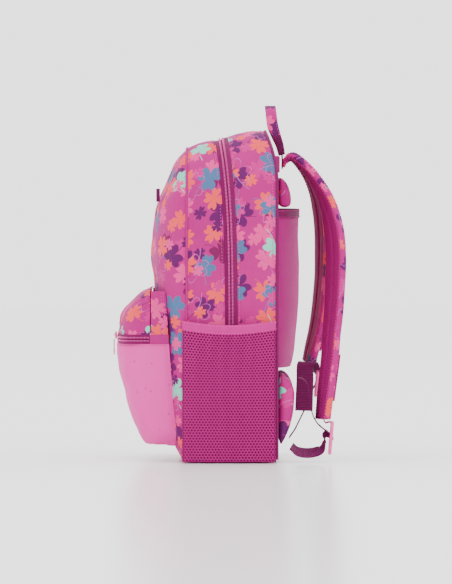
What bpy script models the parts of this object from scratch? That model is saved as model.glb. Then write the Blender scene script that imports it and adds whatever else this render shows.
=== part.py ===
# School backpack: a zipped front cover, a zipped front pocket, two mesh side pockets,
# a luggage sleeve, a carry handle and two padded shoulder straps with adjusters.
# Metres. +X is the wearer's right, -Y the front, +Y the back, +Z up.
# The origin is the middle of the base's underside.
import math

import bmesh
import bpy
from mathutils import Vector

# Driving dimensions
BODY_WIDTH = 0.290
BODY_HEIGHT = 0.450
BACK_Y = 0.070
SEAM_Y = -0.054
FRONT_BULGE = 0.049
FRONT_TOP_FALL = 0.023
TOP_RADIUS = 0.070
WALL = 0.003
BASE_THICK = 0.004
SPLIT_Z = 0.245
ZIP_Y = 0.007
ZIP_LEAN = 0.014
ZIP_TAPE = 0.008
COIL_RADIUS = 0.001
PANEL_THICK = 0.0025
POCKET_INSET = 0.017
POCKET_DEPTH = 0.049
POCKET_TOP = 0.235
POCKET_ZIP_Z = 0.1675
POCKET_ZIP_GAP = 0.0055
POCKET_BASE = 0.031
POCKET_CORNER = 0.024
FLAP_BACK = 0.0025
MESH_TOP = 0.196
MESH_FRONT = -0.060
MESH_BACK = 0.068
MESH_BULGE = 0.016
MESH_THICK = 0.0016
HEM_HEIGHT = 0.011
HEM_THICK = 0.0030
SLEEVE_INSET = 0.033
SLEEVE_DROP = 0.106
SLEEVE_FOOT = 0.128
SLEEVE_BULGE = 0.029
SLEEVE_THICK = 0.0022
STRAP_WIDTH = 0.060
STRAP_THICK = 0.012
NEAR_FOOT = 0.0585
FAR_FOOT = 0.12825
KEEPER_LIFT = 0.001
TONGUE_GAP = 0.0025
TAIL_ASIDE = 0.017
WEB_WIDTH = 0.025
WEB_THICK = 0.0016
LOCK_WIDTH = 0.036
LOCK_HEIGHT = 0.046
LOCK_THICK = 0.0045
LOCK_BAR = 0.005
HANDLE_WIDTH = 0.015
HANDLE_THICK = 0.0035
HANDLE_HALF = 0.022
HANDLE_RISE = 0.066
SLIDER_LENGTH = 0.012
SLIDER_WIDTH = 0.010
SLIDER_THICK = 0.003
SLIDER_FOOT = 0.0014
LABEL_X = 0.60
LABEL_REACH = 0.006
LABEL_THICK = 0.002
LABEL_HEIGHT = 0.018
SLIDER_DROP = 0.045
SLIDER_APART = 0.035
PULL_LENGTH = 0.022
PULL_WIDTH = 0.006
PULL_THICK = 0.0016
PULL_OUT = 0.0042
GAP = 0.0004
FIT = 0.0010

HALF = BODY_WIDTH / 2
POCKET_HALF = HALF - POCKET_INSET
SLEEVE_HALF = HALF - SLEEVE_INSET
SLEEVE_TOP = BODY_HEIGHT - SLEEVE_DROP
PRINT = (0.70, 0.03, 0.29)
PLAIN = (0.62, 0.02, 0.24)
MESH = (0.50, 0.02, 0.20)
WEB = (0.42, 0.03, 0.20)
LIGHT = (0.90, 0.22, 0.50)


def clear_scene():
    for item in list(bpy.data.objects):
        bpy.data.objects.remove(item, do_unlink=True)


def finish_for(name, colour, roughness, metallic):
    finish = bpy.data.materials.new(name)
    finish.use_nodes = True
    shader = finish.node_tree.nodes["Principled BSDF"]
    shader.inputs["Base Color"].default_value = (*colour, 1)
    shader.inputs["Roughness"].default_value = roughness
    shader.inputs["Metallic"].default_value = metallic
    return finish


def pivot(name, place, parent=None):
    """An empty on a joint's axis; place is in the world."""
    empty = bpy.data.objects.new(name, None)
    bpy.context.collection.objects.link(empty)
    empty["place"] = place
    if parent:
        empty.parent = parent
        empty.location = Vector(place) - Vector(parent["place"])
    else:
        empty.location = place
    return empty


def solid(name, verts, faces, colour, carrier=None, roughness=0.8, metallic=0.0):
    """One closed mesh; verts are in the world, and carrier is the empty that it turns with."""
    start = Vector(carrier["place"]) if carrier else Vector((0, 0, 0))
    mesh = bpy.data.meshes.new(name)
    mesh.from_pydata([Vector(v) - start for v in verts], [], faces)
    work = bmesh.new()
    work.from_mesh(mesh)
    bmesh.ops.remove_doubles(work, verts=work.verts, dist=1e-6)
    bmesh.ops.recalc_face_normals(work, faces=work.faces)
    work.to_mesh(mesh)
    work.free()
    mesh.shade_smooth()
    mesh.set_sharp_from_angle(angle=math.radians(35))
    mesh.materials.append(finish_for(name, colour, roughness, metallic))
    item = bpy.data.objects.new(name, mesh)
    bpy.context.collection.objects.link(item)
    item.parent = carrier
    return item


def shell(name, outer, inner, colour, carrier=None, **look):
    """A closed wall between two grids of points with the same rows and columns."""
    rows, cols = len(outer), len(outer[0])
    verts = [p for row in outer for p in row] + [p for row in inner for p in row]
    under = rows * cols
    faces = []
    for r in range(rows - 1):
        for c in range(cols - 1):
            a = r * cols + c
            quad = (a, a + 1, a + cols + 1, a + cols)
            faces.append(quad)
            faces.append(tuple(under + v for v in reversed(quad)))
    rim = [c for c in range(cols)]
    rim += [r * cols + cols - 1 for r in range(1, rows)]
    rim += [(rows - 1) * cols + c for c in range(cols - 2, -1, -1)]
    rim += [r * cols for r in range(rows - 2, 0, -1)]
    for a, b in zip(rim, rim[1:] + rim[:1]):
        faces.append((a, under + a, under + b, b))
    return solid(name, verts, faces, colour, carrier, **look)


def block(name, low, high, colour, carrier=None, bevel=0.0, **look):
    """A box between two corners, with rounded edges."""
    verts = [(x, y, z) for x in (low[0], high[0]) for y in (low[1], high[1]) for z in (low[2], high[2])]
    faces = [(0, 1, 3, 2), (4, 6, 7, 5), (0, 4, 5, 1), (2, 3, 7, 6), (0, 2, 6, 4), (1, 5, 7, 3)]
    item = solid(name, verts, faces, colour, carrier, **look)
    if bevel:
        rounding = item.modifiers.new("rounding", "BEVEL")
        rounding.width = bevel
        rounding.segments = 2
        rounding.limit_method = "ANGLE"
    return item


def slab(name, outline, low_x, high_x, colour, carrier=None, bevel=0.0, **look):
    """An outline of (y, z) points, pulled along X."""
    count = len(outline)
    verts = [(low_x, y, z) for y, z in outline] + [(high_x, y, z) for y, z in outline]
    faces = [tuple(range(count)), tuple(range(2 * count - 1, count - 1, -1))]
    for i in range(count):
        j = (i + 1) % count
        faces.append((i, count + i, count + j, j))
    item = solid(name, verts, faces, colour, carrier, **look)
    if bevel:
        rounding = item.modifiers.new("rounding", "BEVEL")
        rounding.width = bevel
        rounding.segments = 2
        rounding.limit_method = "ANGLE"
    return item


def curve_through(points, count):
    """count + 1 places along a smooth curve through the points."""
    points = [Vector(p) for p in points]
    ends = [2 * points[0] - points[1]] + points + [2 * points[-1] - points[-2]]
    spans = len(points) - 1
    line = []
    for i in range(count + 1):
        run = i / count * spans
        k = min(int(run), spans - 1)
        t = run - k
        a, b, c, d = ends[k:k + 4]
        line.append(0.5 * (2 * b + (c - a) * t + (2 * a - 5 * b + 4 * c - d) * t * t
                           + (3 * b - a - 3 * c + d) * t ** 3))
    return line


def ribbon_frame(line, across):
    """For each place on the line: the side direction and the face direction."""
    frames = []
    for i, place in enumerate(line):
        ahead = (line[min(i + 1, len(line) - 1)] - line[max(i - 1, 0)]).normalized()
        side = Vector(across[i])
        side = (side - ahead * side.dot(ahead)).normalized()
        frames.append((side, ahead.cross(side)))
    return frames


def ribbon(name, line, across, widths, thick, colour, carrier=None, lift=0.0, **look):
    """A flat strap along a line, lifted off the line along its face direction."""
    frames = ribbon_frame(line, across)
    outer, inner = [], []
    for place, (side, face), wide in zip(line, frames, widths):
        middle = place + face * lift
        outer.append([middle + side * wide / 2 * s + face * thick / 2 for s in (-1, 0, 1)])
        inner.append([middle + side * wide / 2 * s - face * thick / 2 for s in (-1, 0, 1)])
    return shell(name, outer, inner, colour, carrier, **look)


def tube(name, line, radius, colour, carrier=None, sides=6, **look):
    """A round cord along a line, with flat ends."""
    verts, faces = [], []
    for i, place in enumerate(line):
        ahead = (line[min(i + 1, len(line) - 1)] - line[max(i - 1, 0)]).normalized()
        side = ahead.cross(Vector((0, 1, 0))).normalized()
        up = side.cross(ahead)
        for k in range(sides):
            turn = 2 * math.pi * k / sides
            verts.append(place + radius * (math.cos(turn) * side + math.sin(turn) * up))
    for i in range(len(line) - 1):
        for k in range(sides):
            a, b = i * sides + k, i * sides + (k + 1) % sides
            faces.append((a, b, b + sides, a + sides))
    faces.append(tuple(range(sides)))
    faces.append(tuple(range(len(verts) - 1, len(verts) - sides - 1, -1)))
    return solid(name, verts, faces, colour, carrier, **look)


# The body's shape
BACK_ROUND = 0.016
TOP_EASE = 1.5
ZIP_EASE = 6
SECTION_POWER = 2.6
FRONT_FULL = 0.918
FRONT_EASE = 0.45


def arch_points(half, top, radius, foot):
    """Places (x, z) up the right side, over the top and down the left side."""
    knee = top - radius
    upper = SPLIT_Z + GAP
    right = [(half, foot), (half, (foot + upper) / 2)] if foot < upper else []
    right += [(half, upper + (knee - upper) * i / 4) for i in range(5)]
    for k in range(1, 7):
        turn = math.pi / 2 * k / 6
        right.append((half - radius + radius * math.cos(turn), knee + radius * math.sin(turn)))
    return right + [(0, top)] + [(-x, z) for x, z in reversed(right)]


def top_height(y):
    """Height of the body's top, which falls towards the front."""
    back = BACK_Y - BACK_ROUND
    share = min(max((back - y) / (back - SEAM_Y), 0), 1)
    return BODY_HEIGHT - FRONT_TOP_FALL * share ** TOP_EASE


def back_edge(z):
    knee = BODY_HEIGHT - TOP_RADIUS
    return BACK_Y - BACK_ROUND * (max(z - knee, 0) / TOP_RADIUS) ** 2


def zip_line(z):
    return ZIP_Y - ZIP_LEAN * (z / BODY_HEIGHT) ** ZIP_EASE


def seam_half(z, inset):
    """Half of the front panel's width at a height."""
    top = top_height(SEAM_Y) - inset
    radius = TOP_RADIUS - inset
    over = max(z - (top - radius), 0)
    return HALF - inset - radius + math.sqrt(max(radius * radius - over * over, 0))


def lower_depth(z):
    """How far the lower front panel stands forward of its seam."""
    return FRONT_BULGE * FRONT_FULL * (max(z, 0) / SPLIT_Z) ** FRONT_EASE


def section(count):
    """A rounded section: (share of half the width, share of the depth)."""
    places = []
    for i in range(count + 1):
        turn = math.pi * (i / count - 0.5)
        across, deep = math.sin(turn), math.cos(turn)
        places.append((math.copysign(abs(across) ** (2 / SECTION_POWER), across),
                       max(deep, 0) ** (2 / SECTION_POWER)))
    return places


def section_depth(share):
    return max(1 - abs(share) ** SECTION_POWER, 0) ** (1 / SECTION_POWER)


def arch_band(name, start, end, foot, colour, carrier=None, columns=3, **look):
    """A wall that follows the body's arch between two depths, each a function of height."""
    grids = []
    for inset in (0, WALL):
        grid = []
        for c in range(columns + 1):
            row = []
            for i, (_, level) in enumerate(arch_points(HALF, BODY_HEIGHT, TOP_RADIUS, foot)):
                y = start(level) + (end(level) - start(level)) * c / columns
                x, z = arch_points(HALF - inset, top_height(y) - inset, TOP_RADIUS - inset, foot)[i]
                row.append((x, y, z))
            grid.append(row)
        grids.append(grid)
    return shell(name, grids[0], grids[1], colour, carrier, **look)


def domed_panel(name, rows, fall, colour, carrier=None):
    """A front panel: rows are (depth, z), and fall is how much lower its inside ends."""
    foot, top = rows[0][1], rows[-1][1]
    shrink = (top - fall - foot) / (top - foot)
    outer, inner = [], []
    for depth, z in rows:
        low = foot + (z - foot) * shrink
        wide, narrow = seam_half(z, 0), seam_half(low, WALL)
        outer.append([(wide * a, SEAM_Y - depth * d, z) for a, d in section(12)])
        inner.append([(narrow * a, SEAM_Y - max(depth - WALL, 0) * d, low) for a, d in section(12)])
    return shell(name, outer, inner, colour, carrier)


def make_body():
    """The fixed walls of the main compartment."""
    foot = BASE_THICK + GAP
    block("base_panel", (-HALF, SEAM_Y - lower_depth(foot), 0), (HALF, BACK_Y, BASE_THICK), PRINT)
    block("base_board", (-HALF + 2 * WALL, SEAM_Y + FIT, foot),
          (HALF - 2 * WALL, BACK_Y - 2 * WALL - 3 * FIT, foot + PANEL_THICK), (0.25, 0.25, 0.27))
    arch_band("rear_gusset", lambda z: zip_line(z) + ZIP_TAPE + GAP, lambda z: back_edge(z) - GAP,
              foot, PRINT)
    layers = [("back_panel", 0, PRINT), ("back_stiffener", 1, (0.2, 0.2, 0.22)),
              ("back_lining", 2, (0.3, 0.3, 0.33))]
    for name, layer, colour in layers:
        inset = WALL + GAP
        deep = BACK_ROUND * 0.75
        rear = BACK_Y - layer * (PANEL_THICK + GAP)
        outline = arch_points(HALF - inset, BODY_HEIGHT - deep - layer * 0.008, TOP_RADIUS - inset,
                              foot)
        far = [(x, back_edge(z) - BACK_Y + rear, z) for x, z in outline]
        near = [(x, y - PANEL_THICK, z) for x, y, z in far]
        count = len(outline)
        half = count // 2
        outer = [[far[i], far[count - 1 - i]] for i in range(half + 1)]
        inner = [[near[i], near[count - 1 - i]] for i in range(half + 1)]
        shell(name, outer, inner, colour)
    rows = [(lower_depth(z), z) for z in [foot + (SPLIT_Z - GAP - foot) * (i / 7) ** 1.6
                                          for i in range(8)]]
    domed_panel("lower_front_panel", rows, 0, PRINT)
    for side, tag in ((1, "right"), (-1, "left")):
        outside, inside = side * HALF, side * (HALF - WALL)
        low_x, high_x = min(outside, inside), max(outside, inside)
        front_end = ZIP_Y - ZIP_TAPE - GAP
        block("lower_side_" + tag, (low_x, SEAM_Y + GAP, foot), (high_x, front_end, SPLIT_Z - GAP),
              PRINT)
        block("lower_zip_" + tag, (low_x, front_end + GAP, foot),
              (high_x, zip_line(SPLIT_Z) + ZIP_TAPE, SPLIT_Z - GAP), PLAIN)
    seam = [(x, back_edge(z) - GAP, z) for x, z in
            arch_points(HALF + 2 * GAP + COIL_RADIUS, BODY_HEIGHT + 2 * GAP + COIL_RADIUS,
                        TOP_RADIUS, foot + COIL_RADIUS)]
    tube("back_piping", [Vector(p) for p in seam], COIL_RADIUS, PLAIN)


def make_cover():
    """The zipped upper front, which tips forward about its lower front edge."""
    hinge = pivot("cover_hinge", (0, SEAM_Y - lower_depth(SPLIT_Z), SPLIT_Z))
    foot = SPLIT_Z + GAP
    arch_band("front_gusset", lambda z: SEAM_Y + GAP, lambda z: zip_line(z) - ZIP_TAPE - GAP,
              foot, PRINT, hinge)
    arch_band("front_zip_tape", lambda z: zip_line(z) - ZIP_TAPE, lambda z: zip_line(z) - FIT / 2,
              foot, PLAIN, hinge, columns=1)
    arch_band("rear_zip_tape", lambda z: zip_line(z) + FIT / 2, lambda z: zip_line(z) + ZIP_TAPE,
              foot, PLAIN, columns=1)
    for name, shift, carrier in (("front_zip_coil", -1, hinge), ("rear_zip_coil", 1, None)):
        lift = COIL_RADIUS + GAP
        line = []
        for i, (_, level) in enumerate(arch_points(HALF, BODY_HEIGHT, TOP_RADIUS, foot)):
            y = zip_line(level) + shift * (COIL_RADIUS + GAP)
            x, z = arch_points(HALF + lift, top_height(y) + lift, TOP_RADIUS + lift, foot)[i]
            line.append(Vector((x, y, z)))
        tube(name, line, COIL_RADIUS, WEB, carrier)
    top = top_height(SEAM_Y)
    shape = [(FRONT_FULL, 0), (1.0, 0.2), (0.9, 0.5), (0.67, 0.69), (0.37, 0.884), (0, 1)]
    places = [(FRONT_BULGE * d, foot + (top - foot) * r, 0) for d, r in shape]
    rows = [(max(p.x, 0), p.y) for p in curve_through(places, 12)]
    domed_panel("front_cover", rows, WALL, PRINT, hinge)
    tag_z = foot + (top - foot) * 0.6
    ahead = SEAM_Y - FRONT_BULGE * 0.80 * section_depth(LABEL_X) - FIT
    tag_x = LABEL_X * HALF
    block("side_label", (tag_x, ahead - LABEL_REACH, tag_z),
          (tag_x + LABEL_THICK, ahead, tag_z + LABEL_HEIGHT), LIGHT, hinge)
    return hinge


def make_main_sliders():
    """Two sliders on the left run of the main zip, each with a hanging pull."""
    under = HALF + 2 * COIL_RADIUS + GAP + FIT / 2
    high_rest = BODY_HEIGHT - TOP_RADIUS - SLIDER_DROP
    for tag, level in (("upper", high_rest), ("lower", high_rest - SLIDER_APART)):
        middle = zip_line(level)
        rail = pivot(tag + "_slider_rail", (-under, middle, level))
        front, rear = middle - SLIDER_WIDTH / 2, middle + SLIDER_WIDTH / 2
        plate = [(-under, front), (-under, rear - SLIDER_FOOT), (-HALF - FIT, rear - SLIDER_FOOT),
                 (-HALF - FIT, rear), (-under - SLIDER_THICK, rear), (-under - SLIDER_THICK, front)]
        low, high = level - SLIDER_LENGTH / 2, level + SLIDER_LENGTH / 2
        count = len(plate)
        verts = [(x, y, low) for x, y in plate] + [(x, y, high) for x, y in plate]
        faces = [tuple(range(count)), tuple(range(2 * count - 1, count - 1, -1))]
        faces += [(i, count + i, count + (i + 1) % count, (i + 1) % count) for i in range(count)]
        solid(tag + "_zip_slider", verts, faces, LIGHT, rail, roughness=0.4)
        hang = (-under - PULL_OUT, middle, low + FIT / 2)
        head = low - FIT / 2
        swing = pivot(tag + "_pull_hinge", hang, rail)
        block(tag + "_zip_pull", (hang[0] - PULL_THICK / 2, middle - PULL_WIDTH / 2, head - PULL_LENGTH),
              (hang[0] + PULL_THICK / 2, middle + PULL_WIDTH / 2, head), WEB, swing)


POCKET_BACK = SEAM_Y - FRONT_BULGE
FLAP_EDGE = POCKET_BACK - GAP
ZIP_LOW = POCKET_ZIP_Z - POCKET_ZIP_GAP
ZIP_HIGH = POCKET_ZIP_Z + POCKET_ZIP_GAP
FLAP_SHAPE = [(0.09, 1.0), (0.28, 0.90), (0.60, 0.69), (0.85, 0.44), (0.94, 0.15), (0.96, 0)]
BUCKET_SHAPE = [(0.985, 1), (0.985, 0.92), (0.94, 0.75), (0.82, 0.59), (0.69, 0.41), (0.50, 0.22),
                (0.32, 0.09), (0.15, 0.0), (-0.15, 0.02), (-0.54, 0.07)]


def pocket_wall(name, profile, rear, colour, carrier=None):
    """A wall that runs back along one side, across the front and back along the other."""
    outer, inner = [], []
    for i, (y, z) in enumerate(profile):
        before, after = profile[max(i - 1, 0)], profile[min(i + 1, len(profile) - 1)]
        ahead = Vector((after[0] - before[0], after[1] - before[1])).normalized()
        inward = Vector((-ahead.y, ahead.x))
        for grid, inset in ((outer, 0), (inner, PANEL_THICK)):
            front = Vector((y, z)) + inward * inset
            back = Vector(rear[i])
            reach = max((front - back).length, 1e-4)
            ease = min(1, POCKET_CORNER / reach)
            right = [(POCKET_HALF - inset, 0), (POCKET_HALF - inset, (1 - ease) / 2)]
            for k in range(5):
                turn = math.pi / 2 * k / 4
                right.append((POCKET_HALF - inset - (POCKET_CORNER - inset) * (1 - math.cos(turn)),
                              1 - ease * (1 - math.sin(turn))))
            half = right[-1][0]
            right.append((half / 2, 1))
            across = right + [(0, 1)] + [(-x, b) for x, b in reversed(right)]
            grid.append([(x, *(back + (front - back) * b)) for x, b in across])
    return shell(name, outer, inner, colour, carrier)


def pocket_rear(z):
    """Where the pocket's side walls meet the front panel."""
    share = (POCKET_HALF - 2 * PANEL_THICK) / HALF
    return SEAM_Y - lower_depth(z) * section_depth(share) - FIT


def pocket_row(shape, low, high, count):
    places = [(POCKET_BACK - POCKET_DEPTH * d, low + (high - low) * r, 0) for d, r in shape]
    return [(p.x, p.y) for p in curve_through(places, count)]


def make_pocket():
    """The front pocket: a light bucket, a printed flap that lifts, and its zip."""
    low, top = POCKET_BASE - 0.009, ZIP_LOW
    bucket = pocket_row(BUCKET_SHAPE, low, top, 14)
    floor = low + 0.012
    edge = [(pocket_rear(z), z) for z in [top + (floor - top) * i / 14 for i in range(15)]]
    pocket_wall("pocket_bucket", bucket, edge, LIGHT)
    hinge = pivot("flap_hinge", (0, FLAP_EDGE, POCKET_TOP))
    flap = pocket_row(FLAP_SHAPE, ZIP_HIGH, POCKET_TOP, 9)
    side = FLAP_EDGE - GAP
    head = POCKET_TOP - 0.005
    edge = [(side, head + (ZIP_HIGH - head) * i / 9) for i in range(10)]
    pocket_wall("pocket_flap", flap, edge, PRINT, hinge)
    face = POCKET_BACK - POCKET_DEPTH * 0.975
    middle = POCKET_ZIP_Z
    for name, start, end, carrier in (("pocket_upper_tape", ZIP_HIGH - GAP, middle + GAP, hinge),
                                      ("pocket_lower_tape", middle - GAP, ZIP_LOW + GAP, None)):
        pocket_wall(name, [(face, start), (face, end)], [(side, start), (side, end)], PLAIN, carrier)
    for turn, tag in ((1, "right"), (-1, "left")):
        inside, outside = turn * (POCKET_HALF - PANEL_THICK), turn * POCKET_HALF
        low_x, high_x = min(inside, outside), max(inside, outside)
        strip = [(FLAP_EDGE + GAP, ZIP_HIGH + GAP), (pocket_rear(ZIP_HIGH), ZIP_HIGH + GAP),
                 (pocket_rear(POCKET_TOP), POCKET_TOP), (FLAP_EDGE + GAP, POCKET_TOP)]
        slab("pocket_side_" + tag, strip, low_x, high_x, PRINT)
        tab = [(FLAP_EDGE + GAP, ZIP_LOW + GAP), (pocket_rear(ZIP_LOW), ZIP_LOW + GAP),
               (pocket_rear(ZIP_HIGH), ZIP_HIGH - GAP), (FLAP_EDGE + GAP, ZIP_HIGH - GAP)]
        slab("zip_end_tab_" + tag, tab, low_x, high_x, PLAIN)
    start_x = -(POCKET_HALF - POCKET_CORNER) + SLIDER_LENGTH
    front = face - FIT
    rail = pivot("pocket_slider_rail", (start_x, front, middle), hinge)
    low, high = middle - SLIDER_WIDTH / 2, middle + SLIDER_WIDTH / 2
    block("pocket_zip_slider", (start_x - SLIDER_LENGTH / 2, front - SLIDER_THICK, low),
          (start_x + SLIDER_LENGTH / 2, front, high), LIGHT, rail, FIT / 2)
    hang = (start_x, front - PULL_OUT, low + FIT / 2)
    head = low - FIT / 2
    swing = pivot("pocket_pull_hinge", hang, rail)
    block("pocket_zip_pull", (start_x - PULL_WIDTH / 2, hang[1] - PULL_THICK / 2, head - PULL_LENGTH),
          (start_x + PULL_WIDTH / 2, hang[1] + PULL_THICK / 2, head), WEB, swing)


def bulged_wall(start, end, low, high, rise, thick, floor_share, count=10, levels=6):
    """Grids of (across, away, z) for a sheet sewn along two edges and its foot."""
    outer, inner = [], []
    for r in range(levels + 1):
        z = low + (high - low) * r / levels
        fill = floor_share + (1 - floor_share) * math.sin(math.pi / 2 * min(1, 2.2 * r / levels))
        away = [rise * fill * math.sin(math.pi * c / count) ** 0.6 if 0 < c < count else 0
                for c in range(count + 1)]
        across = [start + (end - start) * c / count for c in range(count + 1)]
        outer.append([(a, b + thick, z) for a, b in zip(across, away)])
        inner.append([(a, b, z) for a, b in zip(across, away)])
    return outer, inner


def make_side_pockets():
    """A mesh pocket with a bound hem on each side."""
    for side, tag in ((1, "right"), (-1, "left")):
        foot = FIT
        pieces = [("mesh_pocket_", foot, MESH_TOP - HEM_HEIGHT - GAP, MESH_THICK, 0.0, 6, MESH),
                  ("mesh_hem_", MESH_TOP - HEM_HEIGHT, MESH_TOP, HEM_THICK, 1.0, 1, PLAIN)]
        for name, low, high, thick, share, levels, colour in pieces:
            grids = bulged_wall(MESH_FRONT, MESH_BACK, low, high, MESH_BULGE, thick, share, 10, levels)
            placed = [[[(side * (HALF + FIT + away), across, z) for across, away, z in row]
                       for row in grid] for grid in grids]
            shell(name + tag, placed[0], placed[1], colour)


def make_back():
    """The pads, the luggage sleeve and the wings on the back."""
    base = BACK_Y + GAP
    pad = [(base, SLEEVE_TOP + FIT), (base + 0.0205, SLEEVE_TOP + FIT), (base + 0.015, SLEEVE_TOP + 0.029),
           (base + 0.006, SLEEVE_TOP + 0.046), (base, SLEEVE_TOP + 0.049)]
    slab("upper_back_pad", pad, -SLEEVE_HALF + 0.004, SLEEVE_HALF - 0.004, PRINT, bevel=0.002)
    block("strap_yoke", (-0.105, base, SLEEVE_TOP + 0.051), (0.105, base + PANEL_THICK, SLEEVE_TOP + 0.071),
          PRINT)
    pieces = [("trolley_sleeve", SLEEVE_FOOT, SLEEVE_TOP - HEM_HEIGHT - GAP, SLEEVE_THICK, 5),
              ("sleeve_hem", SLEEVE_TOP - HEM_HEIGHT, SLEEVE_TOP, HEM_THICK, 1)]
    for name, low, high, thick, levels in pieces:
        grids = bulged_wall(-SLEEVE_HALF, SLEEVE_HALF, low, high, SLEEVE_BULGE, thick, 1, 12, levels)
        placed = [[[(across, base + FIT + away, z) for across, away, z in row] for row in grid]
                  for grid in grids]
        shell(name, placed[0], placed[1], PLAIN)
    wing = [(base, 0.014), (base + 0.010, 0.031), (base + 0.017, 0.048), (base + 0.022, 0.070),
            (base + 0.024, 0.100), (base + 0.016, 0.116), (base, 0.126)]
    for side, tag in ((1, "right"), (-1, "left")):
        ends = sorted((side * 0.086, side * (HALF - 0.004)))
        slab("wing_" + tag, wing, ends[0], ends[1], PRINT)
    slab("lumbar_pad", [(y if y == base else base + (y - base) * 0.7, z) for y, z in wing],
         -0.084, 0.084, PLAIN, bevel=0.002)
    block("divider_sleeve", (-HALF + 0.012, BACK_Y - 0.026, BASE_THICK + PANEL_THICK + 3 * GAP),
          (HALF - 0.012, BACK_Y - 0.0245, BODY_HEIGHT * 0.64), (0.3, 0.3, 0.33))


HANDLE_SHAPE = [(1.0, 0.0070, 0), (1.1, 0.0040, 0.20), (1.2, -0.0005, 0.38), (1.1, -0.0055, 0.60),
                (0.75, -0.0080, 0.88), (0, -0.0090, 1)]
HANDLE_WIDTHS = [0.60, 0.72, 0.86, 1, 1, 1]


def make_handle():
    """The carry handle, a flat loop that folds back about its feet."""
    foot = SLEEVE_TOP + 0.075
    hinge = pivot("handle_hinge", (0, BACK_Y + HANDLE_SHAPE[0][1], foot))
    right = [(HANDLE_HALF * a, BACK_Y + y, foot + HANDLE_RISE * r) for a, y, r in HANDLE_SHAPE]
    points = right + [(-x, y, z) for x, y, z in reversed(right[:-1])]
    line = curve_through(points, 20)
    shares = HANDLE_WIDTHS + HANDLE_WIDTHS[-2::-1]
    wide = [p.x * HANDLE_WIDTH for p in curve_through([(s, 0, 0) for s in shares], 20)]
    ribbon("carry_handle", line, [(0, 1, 0)] * len(line), wide, HANDLE_THICK, PRINT, hinge)


# A strap's middle line: share of the body's half width, distance behind the back, share of height
NEAR_STRAP = [(0.43, 0.0085, 0.893), (0.43, 0.0120, 0.911), (0.44, 0.0215, 0.922), (0.47, 0.0330, 0.904),
              (0.52, 0.0490, 0.862), (0.57, 0.0635, 0.807), (0.62, 0.0730, 0.747), (0.66, 0.0785, 0.678),
              (0.69, 0.0800, 0.611), (0.72, 0.0790, 0.547), (0.75, 0.0765, 0.449), (0.77, 0.0735, 0.384),
              (0.79, 0.0720, 0.327), (0.81, 0.0670, 0.233), (0.82, 0.0640, 0.176), (0.83, 0.0620, 0.130)]
FAR_STRAP = [(0.43, 0.0085, 0.893), (0.43, 0.0120, 0.911), (0.44, 0.0215, 0.922), (0.47, 0.0330, 0.904),
             (0.52, 0.0470, 0.862), (0.57, 0.0580, 0.807), (0.62, 0.0640, 0.747), (0.66, 0.0665, 0.678),
             (0.69, 0.0665, 0.611), (0.72, 0.0655, 0.547), (0.75, 0.0610, 0.449), (0.77, 0.0560, 0.384),
             (0.79, 0.0500, 0.327), (0.80, 0.0460, 0.285)]
STEPS = 26
NEAR_TILT = 20
FAR_TILT = -18


def strap_side(side, tilt, share):
    """The strap's side direction: level at the root, turned by tilt lower down."""
    turn = math.radians(tilt) * min(1, max(0, (share - 0.1) / 0.35))
    return (side * math.cos(turn), math.sin(turn), 0)


def make_strap(side, tag, route, foot, tilt):
    """A padded strap from its root on the back to its foot, on an empty at the root."""
    low = route[-1][2]
    points = [(side * a * HALF, BACK_Y + y, foot + (BODY_HEIGHT - foot) * (r - low) / (1 - low))
              for a, y, r in route]
    hinge = pivot("strap_hinge_" + tag, points[0])
    line = curve_through(points, STEPS)
    across = [strap_side(side, tilt, i / STEPS) for i in range(STEPS + 1)]
    wide, thick = [], []
    for i in range(STEPS + 1):
        share = i / STEPS
        wide.append(STRAP_WIDTH * min(1, 0.5 + 3.5 * share) * (1 - 0.35 * max(0, (share - 0.6) / 0.4)))
        thick.append(STRAP_THICK * min(1, 0.35 + 4 * share))
    frames = ribbon_frame(line, across)
    outer, inner = [], []
    for place, (away, face), w, t in zip(line, frames, wide, thick):
        outer.append([place + away * w / 2 * s + face * t / 2 * (1 - 0.4 * abs(s)) for s in (-1, -0.8, 0.8, 1)])
        inner.append([place + away * w / 2 * s - face * t / 2 * (1 - 0.4 * abs(s)) for s in (-1, -0.8, 0.8, 1)])
    shell("shoulder_strap_" + tag, outer, inner, PRINT, hinge)
    return hinge, line, across, wide


def framed_plate(name, across, along, holes, middle, side, down, colour, carrier):
    """A flat buckle plate: a grid of bars with open cells, LOCK_THICK thick."""
    face = side.cross(down)
    cols, rows = len(across), len(along)
    verts = []
    for lift in (-LOCK_THICK / 2, LOCK_THICK / 2):
        verts += [middle + side * a + down * d + face * lift for d in along for a in across]
    under = cols * rows

    def open_cell(r, c):
        return not (0 <= r < rows - 1 and 0 <= c < cols - 1) or (r, c) in holes

    faces = []
    for r in range(rows - 1):
        for c in range(cols - 1):
            if open_cell(r, c):
                continue
            a = r * cols + c
            quad = (a, a + 1, a + cols + 1, a + cols)
            faces += [quad, tuple(under + v for v in reversed(quad))]
            edges = [((r - 1, c), (a, a + 1)), ((r, c + 1), (a + 1, a + cols + 1)),
                     ((r + 1, c), (a + cols + 1, a + cols)), ((r, c - 1), (a + cols, a))]
            faces += [(v, w, under + w, under + v) for cell, (v, w) in edges if open_cell(*cell)]
    item = solid(name, verts, faces, colour, carrier, roughness=0.35)
    rounding = item.modifiers.new("rounding", "BEVEL")
    rounding.width = LOCK_THICK / 6
    rounding.segments = 1
    rounding.limit_method = "ANGLE"
    return item


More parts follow.
